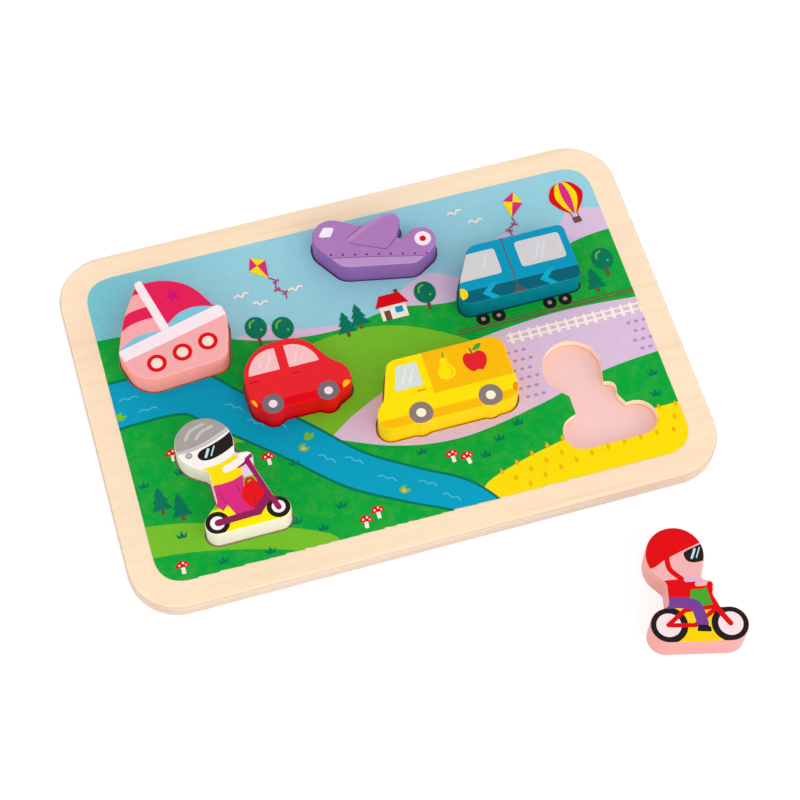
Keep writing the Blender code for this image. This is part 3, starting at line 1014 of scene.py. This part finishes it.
cab_window = rounded([(-23.5, 12.6), (-10.8, 12.6), (-10.8, 24.4), (-19.8, 24.4)], 1.0)
apple = curve_through([
    (14.0, 21.6), (16.9, 22.4), (19.2, 20.3), (19.0, 16.4), (16.4, 12.9), (14.1, 13.5),
    (11.8, 12.9), (9.4, 16.2), (9.1, 20.2), (11.2, 22.4),
], 4, closed=True)
apple_leaf = curve_through([
    (14.4, 23.0), (16.2, 25.4), (19.0, 25.6), (17.4, 23.2),
], 4, closed=True)
pear = curve_through([
    (1.0, 23.4), (2.4, 22.4), (2.6, 19.8), (4.4, 17.0), (4.0, 13.6), (0.6, 12.2),
    (-2.7, 13.6), (-3.0, 17.0), (-1.1, 19.8), (-0.6, 22.4),
], 4, closed=True)
van_prints = [
    everywhere("van yellow"),
    ("van box", [box(-7.4, 7.4, 40.0, 40.0)]),
    ("van box", [box(-60.0, -20.0, 40.0, 0.25)]),
    ("van glass", [cab_window]),
    ("van shine", [stroke([(-15.8, 22.3), (-19.5, 15.3)], 0.7)]),
    ("van shine", [stroke([(-12.8, 21.6), (-16.3, 15.3)], 0.7)]),
    ("deep orange", [stroke([(-14.0, 10.3), (-10.6, 10.3)], 0.8)]),
    ("deep orange", [oval(27.6, 0.7, 1.7, 2.4)]),
    ("van yellow", [pear]),
    ("pear shade", [stroke(curve_through([(2.2, 18.2), (3.1, 15.9), (2.2, 13.9)]), 0.6)]),
    ("leaf", [stroke([(1.0, 23.2), (1.6, 25.4)], 0.7)]),
    ("apple", [apple]),
    ("leaf", [apple_leaf]),
    ("brown", [stroke([(13.9, 21.4), (13.5, 24.2)], 0.7)]),
]
for x in (-15.55, 15.55):
    van_prints.append(("van tyre", [oval(x, -0.05, 5.25, count=36)]))
    van_prints.append(("van hub", [oval(x, -0.05, 2.15, count=20)]))
finish_piece("van", satin_paint("yellow", "#FFD000"), van_prints, VAN_PLACE)

# %% [markdown]
# ## The two riders
#
# Both are plain peg figures with a round head in a helmet, whose dark visor has two streaks of
# shine: one stands on a scooter, one sits on a bicycle. They look right. Their wheels are dark
# rings, and the ground under them is yellow, so that the narrow piece gets a broad foot.

# %% Inks and outlines of the scooter rider
INK_COLOURS.update({
    "skin cream": "#FCF3EC",
    "helmet grey": "#A8A09B",
    "helmet light": "#C9C2BD",
    "shirt yellow": "#FFE100",
    "ground yellow": "#FFEB00",
    "behind lilac": "#E4D2EA",
    "tyre black": "#201B17",
    "wheel white": "#FBF7F4",
    "visor shine": "#BFE3EE",
    "bag red": "#E8121C",
    "magenta grip": "#A01D5C",
})
head = oval(-9.8, 37.2, 13.4, count=48)
helmet = curve_through([(-24.0, 36.6), (-16.0, 36.4), (-8.0, 38.2), (0.0, 41.4), (6.0, 44.4)])
helmet += [(6.0, 60.0), (-30.0, 60.0), (-30.0, 36.6)]
helmet_rim = curve_through([(-22.6, 35.9), (-15.8, 35.6), (-7.6, 37.4), (0.4, 40.6), (4.4, 42.8)])
visor = curve_through([
    (-13.6, 32.4), (-11.6, 34.5), (-7.4, 35.7), (-3.0, 37.2), (0.6, 38.9), (5.0, 41.2), (7.0, 36.0),
    (2.0, 33.0), (-4.0, 30.3), (-9.2, 29.2), (-12.6, 30.0),
], 5, closed=True)
scooter_shirt = curve_through([
    (-20.0, 25.6), (-11.0, 25.9), (-6.3, 26.1), (-2.3, 27.3), (1.2, 28.6),
])
scooter_shirt += curve_through([(2.4, 27.6), (2.9, 24.0), (2.6, 21.0), (2.45, 18.7)])
scooter_shirt += curve_through([(-2.0, 17.2), (-6.6, 16.8), (-10.3, 16.95), (-20.0, 17.4)])
trousers = [(-20.0, 18.0), (-6.6, 17.6), (2.6, 19.4), (1.7, 13.2), (2.6, 7.0), (4.4, 1.9)]
trousers += [(4.4, 0.2), (-4.3, 0.6), (-7.05, 7.0), (-9.3, 4.5), (-12.7, 8.45), (-15.6, 12.7)]
bag = curve_through([
    (1.0, 12.4), (-0.4, 9.5), (0.4, 6.1), (3.7, 2.0), (6.6, 4.4), (9.8, 8.2), (8.4, 12.6), (6.4, 15.0),
    (3.4, 14.4),
], 5, closed=True)
steering = [(3.4, 2.2), (9.3, 7.9), (9.6, 12.0), (12.4, 7.2)]
steering += [(11.3, 4.6), (9.2, 2.8), (5.2, -1.3), (3.0, -1.3)]
grip = curve_through([(1.7, 22.9), (4.2, 23.7), (6.0, 25.3), (8.2, 26.6)])
print("points of helmet, visor and shirt:", len(helmet), len(visor), len(scooter_shirt))

# %% Scooter rider
SCOOTER_PLACE = (-75.7, -59.2, 0.0)

scooter_prints = [
    everywhere("behind lilac"),
    ("skin cream", [head]),
    ("lime", [box(-30.0, 4.0, 12.0, 17.4)]),
    ("skin cream", [box(-30.0, 10.4, -8.0, 27.0)]),
    ("ground yellow", [box(-31.0, -21.0, 31.0, 5.9)]),
    ("helmet grey", [helmet]),
    ("helmet light", [stroke(helmet_rim, 1.4)]),
    ("helmet light", [stroke(curve_through([(-17.0, 41.0), (-13.5, 44.8), (-8.0, 46.4)]), 1.3)]),
    ("helmet light", [stroke(curve_through([(-12.4, 40.3), (-9.4, 43.0), (-4.6, 44.4)]), 1.3)]),
    ("helmet grey", [oval(-17.2, 33.3, 1.5, count=20)]),
    ("helmet light", [oval(-17.2, 33.3, 0.7, count=12)]),
    ("tyre black", [visor]),
    ("visor shine", [stroke([(-8.6, 34.2), (-10.4, 30.9)], 1.1)]),
    ("visor shine", [stroke([(-5.9, 35.0), (-8.0, 31.0)], 0.6)]),
    ("magenta", [trousers]),
    ("shirt yellow", [scooter_shirt]),
    ("wine", [stroke([(-9.0, 12.4), (-7.2, 7.4)], 0.3)]),
    ("wine", [stroke([(-1.3, 14.8), (-0.4, 11.4)], 0.3)]),
    ("bag red", [stroke(curve_through([(2.6, 13.8), (3.6, 16.0), (5.6, 15.9), (6.4, 13.8)]), 1.3)]),
    ("bag red", [bag]),
    ("handle red", [stroke(curve_through([(4.8, 8.2), (4.4, 5.6), (3.9, 3.4)]), 0.35)]),
]
for x, y, wide in ((-13.1, -0.2, 5.2), (13.2, 0.3, 5.0)):
    scooter_prints.append(("tyre black", [oval(x, y, wide, count=36)]))
    scooter_prints.append(("wheel white", [oval(x, y, wide - 2.1, count=28)]))
scooter_prints += [
    ("wine", [stroke([(-12.8, -0.2), (4.6, 0.4)], 3.1)]),
    ("wine", [steering]),
    ("magenta grip", [stroke([(5.9, 24.4), (13.2, 0.0)], 2.5)]),
    ("skin cream", [oval(5.6, 27.9, 2.7, 1.35, 8.0, 20)]),
    ("magenta grip", [stroke(grip, 1.6)]),
    ("skin cream", [stroke(curve_through([(-3.6, 23.0), (0.4, 24.2), (3.4, 25.6)]), 3.4)]),
]
warm_white = satin_paint("warm white", "#EDE2D2")
finish_piece("scooter_rider", warm_white, scooter_prints, SCOOTER_PLACE)

# %% Inks and outlines of the bicycle rider
INK_COLOURS.update({
    "face pink": "#F6B5B3",
    "ride red": "#E3080F",
    "ride purple": "#7B3F98",
    "ride green": "#45A92F",
    "ride yellow": "#FFD500",
    "scarf": "#DDB6DD",
    "wheel pink": "#FCE4E6",
})
cycle_helmet = curve_through([
    (-26.0, 24.0), (-17.0, 25.4), (-11.6, 28.8), (-5.0, 32.2), (2.0, 35.4), (8.0, 38.0),
])
cycle_helmet += [(8.0, 60.0), (-26.0, 60.0)]
cycle_shirt = [(-20.0, 19.0), (-9.6, 19.9), (-4.2, 20.2), (-1.0, 18.8), (3.2, 18.6), (3.0, 15.6)]
cycle_shirt += [(-2.0, 15.4), (-3.2, 10.4), (-8.0, 10.6), (-20.0, 11.4)]
cycle_visor = curve_through([
    (-3.4, 31.0), (-2.4, 32.6), (2.0, 34.6), (5.4, 36.2), (9.0, 37.0), (9.4, 31.0), (5.0, 28.4),
    (1.0, 27.4), (-2.2, 28.2),
], 5, closed=True)
leg = curve_through([(-12.6, 9.6), (-6.0, 9.6), (-1.0, 8.2), (0.5, 4.4), (1.3, 0.0)])
shoe = rounded([(-1.4, -3.0), (4.6, -3.4), (4.4, -1.4), (3.0, -0.4), (-0.6, -0.2)], 0.6)
print("points of helmet, visor and leg:", len(cycle_helmet), len(cycle_visor), len(leg))

# %% Bicycle rider
BICYCLE_PLACE = (89.3, -155.7, -14.0)

bicycle_prints = [
    everywhere("face pink"),
    ("green", [box(-30.0, 4.0, 30.0, 9.4)]),
    ("ride yellow", [box(-12.0, -20.0, 12.0, 8.4)]),
    ("ride green", [[(-4.6, 15.6), (4.9, 16.8), (8.2, 7.2), (-1.4, 8.1)]]),
    ("tyre black", [cycle_visor]),
    ("visor shine", [stroke([(1.4, 33.4), (-0.2, 29.4)], 1.0)]),
    ("visor shine", [stroke([(3.4, 34.0), (1.8, 29.6)], 0.55)]),
    ("ride red", [cycle_helmet]),
    ("ride red", [stroke(curve_through([(-10.6, 29.6), (-9.8, 24.6), (-5.4, 20.2)]), 2.2)]),
    ("ride red", [cycle_shirt]),
    ("scarf", [stroke([(-3.6, 19.6), (2.4, 19.9)], 1.8)]),
]
for x in (-12.7, 12.7):
    bicycle_prints.append(("tyre black", [oval(x, -0.05, 7.9, count=44)]))
    bicycle_prints.append(("wheel pink", [oval(x, -0.05, 5.15, count=36)]))
for path in (
    [(-12.9, 0.0), (-5.5, 6.3)],
    [(-12.7, -0.1), (-1.6, -0.4)],
    [(-1.8, -0.3), (7.0, 6.4)],
    [(-5.7, 6.2), (7.2, 7.6)],
):
    bicycle_prints.append(("ride red", [stroke(path, 1.9)]))
bicycle_prints += [
    ("ride purple", [stroke(leg, 4.9)]),
    ("tyre black", [shoe]),
    ("ride red", [stroke(curve_through([(5.6, 17.2), (6.5, 12.0), (8.2, 6.6), (12.6, 0.0)]), 2.3)]),
    ("ride red", [stroke([(1.6, 16.3), (6.9, 17.9)], 2.0)]),
    ("face pink", [stroke([(0.9, 17.7), (3.9, 17.9)], 2.2)]),
]
rose = satin_paint("rose", "#E69E98")
finish_piece("bicycle_rider", rose, bicycle_prints, BICYCLE_PLACE)

# %% [markdown]
# ## The picture on the board
#
# The upper layer is printed inside a bare wooden margin: a rounded rectangle, cut away where the
# cut-outs are. The picture here is a plain country of rolling fields with a river, a fence, trees,
# kites and a balloon. Each ink is a very thin plate on the wood, and inks that come later lie on the
# earlier ones, as in screen printing. A block with the picture's outline and its holes trims every
# plate. The picture's front edge is a little ragged, as a brush leaves it: a saw of long, low teeth.

# %% The printed area
PICTURE_WIDE, PICTURE_HIGH, PICTURE_ROUND = 236.0, 152.3, 14.0
CORNER_STEPS = 10
TOOTH_LONG, TOOTH_DEEP, TOOTH_RISE = (4.0, 11.0), (0.15, 0.55), 0.4
TRIM_REACH = 1.0
LAYER = 0.015

half_wide, half_high = PICTURE_WIDE / 2.0, PICTURE_HIGH / 2.0
picture_corners = box(-half_wide, -half_high, half_wide, half_high)
picture_outline = rounded(picture_corners, PICTURE_ROUND, CORNER_STEPS)
chance = random.Random(5)
front_edge, along = [], PICTURE_ROUND + 2.0 - half_wide
while along < half_wide - PICTURE_ROUND - TOOTH_LONG[1]:
    deep = chance.uniform(*TOOTH_DEEP)
    front_edge += [(along, -half_high), (along + TOOTH_RISE, deep - half_high)]
    along += chance.uniform(*TOOTH_LONG)
picture_outline[CORNER_STEPS + 1:CORNER_STEPS + 1] = front_edge
picture_block = drawn(
    "picture_block", [picture_outline, *cut_outs], PANEL_TOP - TRIM_REACH, PANEL_TOP + TRIM_REACH
)
print("picture", PICTURE_WIDE, "x", PICTURE_HIGH, "mm, teeth", len(front_edge) // 2)

# %% Sky, hills and fields
PAST_SIDE, PAST_FRONT = 135.0, -95.0
FIELDS = [
    ("mountains", "lilac", [
        (-135.0, 20.0), (-60.0, 30.0), (-46.0, 33.0), (-30.0, 27.0), (0.0, 24.0), (22.0, 36.0),
        (34.0, 39.0), (46.0, 34.0), (60.0, 43.0), (72.0, 50.0), (84.0, 45.0), (96.0, 47.0),
        (106.0, 54.0), (135.0, 46.0),
    ]),
    ("far_green", "green", [
        (-135.0, 46.0), (-100.0, 44.0), (-70.0, 34.0), (-44.0, 25.0), (-14.0, 22.0), (12.0, 26.0),
        (40.0, 22.0), (74.0, 28.0), (104.0, 38.0), (135.0, 40.0),
    ]),
    ("lime_hill", "lime", [
        (-135.0, -40.0), (-66.0, -6.0), (-40.0, 14.0), (-16.0, 20.0), (8.0, 18.0), (30.0, 8.0),
        (60.0, -14.0), (90.0, -40.0), (135.0, -60.0),
    ]),
    ("lavender_hill", "lilac", [
        (-135.0, -95.0), (-40.0, -34.0), (-16.0, -19.0), (10.0, -8.0), (40.0, 0.0), (80.0, 4.0),
        (118.0, 2.0), (135.0, 0.0),
    ]),
    ("near_green", "green", [
        (-135.0, -26.0), (-100.0, -20.0), (-70.0, -20.0), (-40.0, -26.0), (-6.0, -40.0),
        (24.0, -44.0), (60.0, -38.0), (90.0, -30.0), (118.0, -27.0), (135.0, -27.0),
    ]),
    ("wheat", "yellow", [
        (-135.0, -95.0), (0.0, -80.0), (30.0, -66.0), (60.0, -58.0), (90.0, -54.0), (135.0, -53.0),
    ]),
    ("meadow", "lime", [
        (-135.0, -46.0), (-104.0, -50.0), (-72.0, -60.0), (-44.0, -72.0), (-20.0, -90.0),
        (135.0, -95.0),
    ]),
    ("front_green", "green", [
        (-135.0, -62.0), (-104.0, -64.0), (-70.0, -72.0), (-30.0, -86.0), (20.0, -95.0),
        (135.0, -95.0),
    ]),
]


def print_board(name, ink_name, level, outlines):
    """One plate of ink, trimmed to the picture; its level says how many inks lie under it."""
    plate = drawn("picture_" + name, outlines, PANEL_TOP, PANEL_TOP + LAYER * level)
    trim = plate.modifiers.new("Trim to the picture", "BOOLEAN")
    trim.operation = "INTERSECT"
    trim.solver = "EXACT"
    trim.object = picture_block
    bpy.ops.object.modifier_apply(modifier=trim.name)
    plate.data.materials.clear()
    plate.data.materials.append(ink(ink_name))
    dress(plate, "board")


print_board("sky", "sky", 1, [box(-130.0, -90.0, 130.0, 90.0)])
for level, (name, ink_name, skyline) in enumerate(FIELDS, 2):
    field = curve_through(skyline) + [(PAST_SIDE, PAST_FRONT), (-PAST_SIDE, PAST_FRONT)]
    print_board(name, ink_name, level, [field])
print("fields", len(FIELDS))

# %% River
BANK_WIDE, RIVER_WIDE = (25.0, 15.5), (22.6, 13.2)
river_middle = curve_through([
    (-135.0, 10.0), (-112.0, 12.0), (-86.0, 10.0), (-70.0, -4.0), (-46.0, -26.0), (-26.0, -46.0),
    (-4.0, -60.0), (16.0, -72.0), (30.0, -92.0),
])
for name, ink_name, level, widths in (
    ("bank", "dark green", 10, BANK_WIDE),
    ("river", "water", 11, RIVER_WIDE),
):
    left_side, right_side = sides(river_middle, *widths)
    print_board(name, ink_name, level, [left_side + right_side[::-1]])
print("river points", len(river_middle))

# %% [markdown]
# ## Small things in the picture
#
# Flat little things fill the country as in any nursery picture: kites and a balloon in the sky, trees
# and a house on the hills, a fence, rows of lavender, ripples and lily pads on the river, and
# mushrooms and grass in front. The engine's wheels and its rails are printed on the board too. Things
# of one ink that do not overlap share a plate, because an outline inside another one would be a hole.

# %% Kites and birds
def many(outlines, places):
    """The same outlines at each place (x, y, tilt)."""
    return [placed(outline, place) for place in places for outline in outlines]


KITES = [(-40.0, 63.0, 24.0), (80.0, 64.0, -20.0)]
crossing, top, right, bottom, left = (0.0, 1.0), (0.0, 6.4), (4.6, 1.0), (0.0, -7.4), (-4.6, 1.0)
tail = curve_through([bottom, (1.4, -10.4), (-1.0, -14.0), (1.0, -17.6), (-0.4, -20.6)])
bows = []
for x, y in ((1.3, -10.8), (-0.9, -14.4), (0.9, -18.0)):
    bows.append([(x, y), (x - 1.4, y + 0.9), (x - 1.4, y - 0.7)])
    bows.append([(x + 0.1, y), (x + 1.5, y - 0.8), (x + 1.5, y + 0.8)])
print_board("kite_tails", "wine", 12, many([stroke(tail, 0.5)], KITES))
light_half = [[crossing, right, top], [crossing, left, bottom]]
print_board("kites_light", "yellow", 13, many(light_half, KITES))
dark_half = [[crossing, top, left], [crossing, bottom, right]]
print_board("kites_dark", "magenta", 14, many(dark_half + bows, KITES))

bird = stroke(curve_through([(-3.2, 0.9), (-1.6, 1.5), (0.0, 0.0), (1.6, 1.5), (3.2, 0.9)]), 0.75)
print_board("birds", "cream", 12, many([bird], [
    (-51.0, 50.0, 8.0), (-44.0, 44.0, -6.0), (-27.0, 47.0, 4.0), (53.0, 66.0, 8.0), (61.0, 59.0, 0.0),
]))
print("kites", len(KITES))

# %% Balloon
BALLOON = [(105.0, 60.0, 4.0)]


def gore(wide):
    """One upright stripe of the balloon, between its crown and its mouth."""
    half = [(0.10, 9.2), (0.62, 7.6), (1.0, 2.0), (0.78, -3.0), (0.24, -8.0)]
    right_side = [(wide * share, y) for share, y in half]
    return curve_through(right_side) + curve_through([(-x, y) for x, y in reversed(right_side)])


ropes = [stroke([(-1.6, -7.6), (-1.4, -10.2)], 0.35), stroke([(1.6, -7.6), (1.4, -10.2)], 0.35)]
basket = rounded(box(-1.9, -13.6, 1.9, -10.5), 0.6)
print_board("balloon", "red", 12, many([gore(8.0)], BALLOON))
print_board("balloon_stripe", "yellow", 13, many([gore(5.0)], BALLOON))
print_board("balloon_middle", "magenta", 14, many([gore(2.0)], BALLOON))
print_board("basket", "brown", 13, many([basket, *ropes], BALLOON))
print("a gore has", len(gore(1.0)), "points")

# %% Trees and a house
round_trees = [(-49.0, 33.0, 0.0), (-37.6, 29.8, 0.0), (28.0, 30.0, 0.0), (110.0, 25.0, 0.0)]
firs = [(-109.0, -42.0, 0.0), (-101.5, -47.0, 0.0), (-4.0, 22.0, 0.0), (-10.5, 19.5, 0.0)]
firs.append((103.0, 11.0, 0.0))
fir = [
    (-4.4, 0.0), (4.4, 0.0), (2.1, 3.7), (3.3, 3.7), (1.3, 7.0), (2.1, 7.0),
    (0.0, 10.8), (-2.1, 7.0), (-1.3, 7.0), (-3.3, 3.7), (-2.1, 3.7),
]
trunk, fir_trunk = box(-0.8, -9.4, 0.8, -3.0), box(-0.8, -2.2, 0.8, 0.6)
crown = oval(0.0, 0.0, 4.9, 5.6)
shine = stroke(curve_through([(-2.6, 0.6), (-2.0, 2.8), (0.0, 3.9)]), 0.8)
fruit = oval(2.0, -1.6, 0.55, count=10)
print_board("trunks", "brown", 12, many([trunk], round_trees) + many([fir_trunk], firs))
print_board("crowns", "dark green", 13, many([crown], round_trees) + many([fir], firs))
print_board("leaves", "lime", 14, many([shine, fruit], round_trees))

HOUSE = [(12.0, 26.0, 0.0)]
walls = box(-6.0, -5.4, 6.0, 2.0)
roof = [(-7.6, 1.6), (7.6, 1.6), (4.6, 7.4), (-4.6, 7.4)]
door, chimney = box(-4.4, -5.4, -1.6, -0.6), box(2.6, 5.0, 4.4, 9.2)
window = rounded(box(0.8, -2.8, 4.4, 0.4), 0.5)
print_board("house", "cream", 12, many([walls], HOUSE))
print_board("roof", "red", 14, many([roof], HOUSE))
print_board("door", "brown", 13, many([door, chimney], HOUSE))
print_board("window", "water", 13, many([window], HOUSE))
print("trees", len(round_trees) + len(firs))

# %% Railway line, fence and lavender
RAILS, RAIL_HALF = (6.6, 5.0), 0.25
AXLES, AXLE_HEIGHT = (49.0, 56.2, 80.0, 87.2), 9.6
PICKETS, PICKET_STEP = 15, 4.3
BUSH_COLUMNS, BUSH_ROWS = (54.2, 57.8, 61.4, 110.2, 113.8, 117.4), 6
BUSH_STEP, BUSH_SHIFT = 4.6, 1.8

rails = [box(36.0, y - RAIL_HALF, 125.0, y + RAIL_HALF) for y in RAILS]
print_board("rails", "brown", 12, rails)
print_board("wheels", "tyre black", 13, [oval(x, AXLE_HEIGHT, 3.1) for x in AXLES])
print_board("hubs", "grey", 14, [oval(x, AXLE_HEIGHT, 1.0, count=16) for x in AXLES])

picket = [(-0.75, 0.0), (0.75, 0.0), (0.75, 5.2), (0.0, 6.2), (-0.75, 5.2)]
stands = [(58.0 + PICKET_STEP * number, -6.0, 0.0) for number in range(PICKETS)]
print_board("fence_rails", "cream", 12, [box(56.0, -4.6, 125.0, -3.7), box(56.0, -1.9, 125.0, -1.0)])
print_board("fence", "cream", 13, many([picket], stands))

bushes = []
for row in range(BUSH_ROWS):
    for column, x in enumerate(BUSH_COLUMNS):
        shifted = x + BUSH_SHIFT * (row % 2)
        if row < 4 or column < 3:
            bushes.append(oval(shifted, -10.0 - BUSH_STEP * row, 0.95, 0.7, count=10))
print_board("lavender", "dark lilac", 12, bushes)
print("bushes", len(bushes))

# %% Ripples, lily pads and wheat
ripple = stroke(curve_through([(-4.0, 0.0), (-2.0, 0.9), (0.0, 0.0), (2.0, 0.9), (4.0, 0.0)]), 0.6)
print_board("ripples", "pale water", 12, many([ripple], [
    (-111.0, 13.5, 0.0), (-104.0, 6.0, 0.0), (-68.0, -3.0, -38.0), (-61.0, -13.0, -42.0),
    (-52.0, -16.0, -42.0), (-36.0, -38.0, -42.0), (-25.0, -42.0, -38.0), (-14.0, -54.0, -30.0),
    (2.0, -61.0, -30.0), (10.0, -70.0, -38.0),
]))
pad = [(0.3, 0.4)] + [(x, y) for x, y in oval(0.0, 0.0, 2.5, 1.9, count=24) if x < 1.6 or y < 0.0]
print_board("lily_pads", "lime", 13, many([pad], [
    (-44.0, -30.0, 0.0), (-40.5, -25.0, 30.0), (-8.0, -61.0, 0.0), (-116.0, 6.0, 10.0),
]))
lilies = [oval(-44.4, -30.4, 0.9, count=12), oval(-8.6, -61.4, 0.9, count=12)]
print_board("lilies", "pink", 14, lilies)

WHEAT_LEFT, WHEAT_FRONT = 34.0, -75.0
ears = []
for number in range(34):
    x = WHEAT_LEFT + 2.5 * number
    for row in range(3):
        y = -66.0 + 0.36 * (x - WHEAT_LEFT) - 0.0028 * (x - WHEAT_LEFT) ** 2 - 6.0 * row
        if (number + row) % 3 == 0 and y > WHEAT_FRONT:
            ears.append([(x, y), (x + 0.9, y + 1.2), (x, y + 3.2), (x - 0.9, y + 1.2)])
print_board("wheat_ears", "orange", 12, ears)
print("ears", len(ears))

# %% Mushrooms and grass
MUSHROOMS = [
    (16.0, -51.5, 0.0), (22.0, -54.0, 8.0), (-60.0, -31.0, 0.0), (-22.0, -68.0, 0.0),
    (-28.0, -71.0, -8.0), (-107.0, -70.0, 0.0), (-99.0, -18.0, 0.0),
]
dome = curve_through([(-2.9, 0.5), (-2.0, 2.2), (0.0, 3.0), (2.0, 2.2), (2.9, 0.5)])
cap = [(-2.9, 0.0)] + dome + [(2.9, 0.0)]
SPOTS = ((-1.2, 1.1, 0.5), (0.5, 1.9, 0.5), (1.6, 0.8, 0.42))
spots = [oval(x, y, wide, count=10) for x, y, wide in SPOTS]
stem = rounded(box(-0.85, -3.0, 0.85, 0.2), 0.4)
print_board("stems", "cream", 12, many([stem], MUSHROOMS))
print_board("caps", "red", 13, many([cap], MUSHROOMS))
print_board("spots", "cream", 14, many(spots, MUSHROOMS))

tuft = [(-1.7, 0.0), (-2.5, 2.5), (-0.9, 0.9), (0.0, 3.5), (0.9, 0.9), (2.5, 2.5), (1.7, 0.0)]
GRASS = [
    (30.0, -56.0), (-50.0, -37.0), (-36.0, -62.0), (-46.0, -70.0), (-56.0, -64.0), (-90.0, -73.0),
    (-70.0, -74.0), (4.0, -47.0), (38.0, -50.0), (48.0, -45.0), (112.0, -38.0), (110.0, -48.0),
    (-104.0, -57.0), (-114.0, -30.0), (-98.0, -28.0),
]
print_board("grass", "dark green", 12, many([tuft], [(x, y, 0.0) for x, y in GRASS]))
print("mushrooms", len(MUSHROOMS), "tufts", len(GRASS))

# %% [markdown]
# ## Closing
#
# The block that trimmed the plates is no part of the toy, so it is deleted.

# %% Close the lesson
bpy.data.objects.remove(picture_block, do_unlink=True)
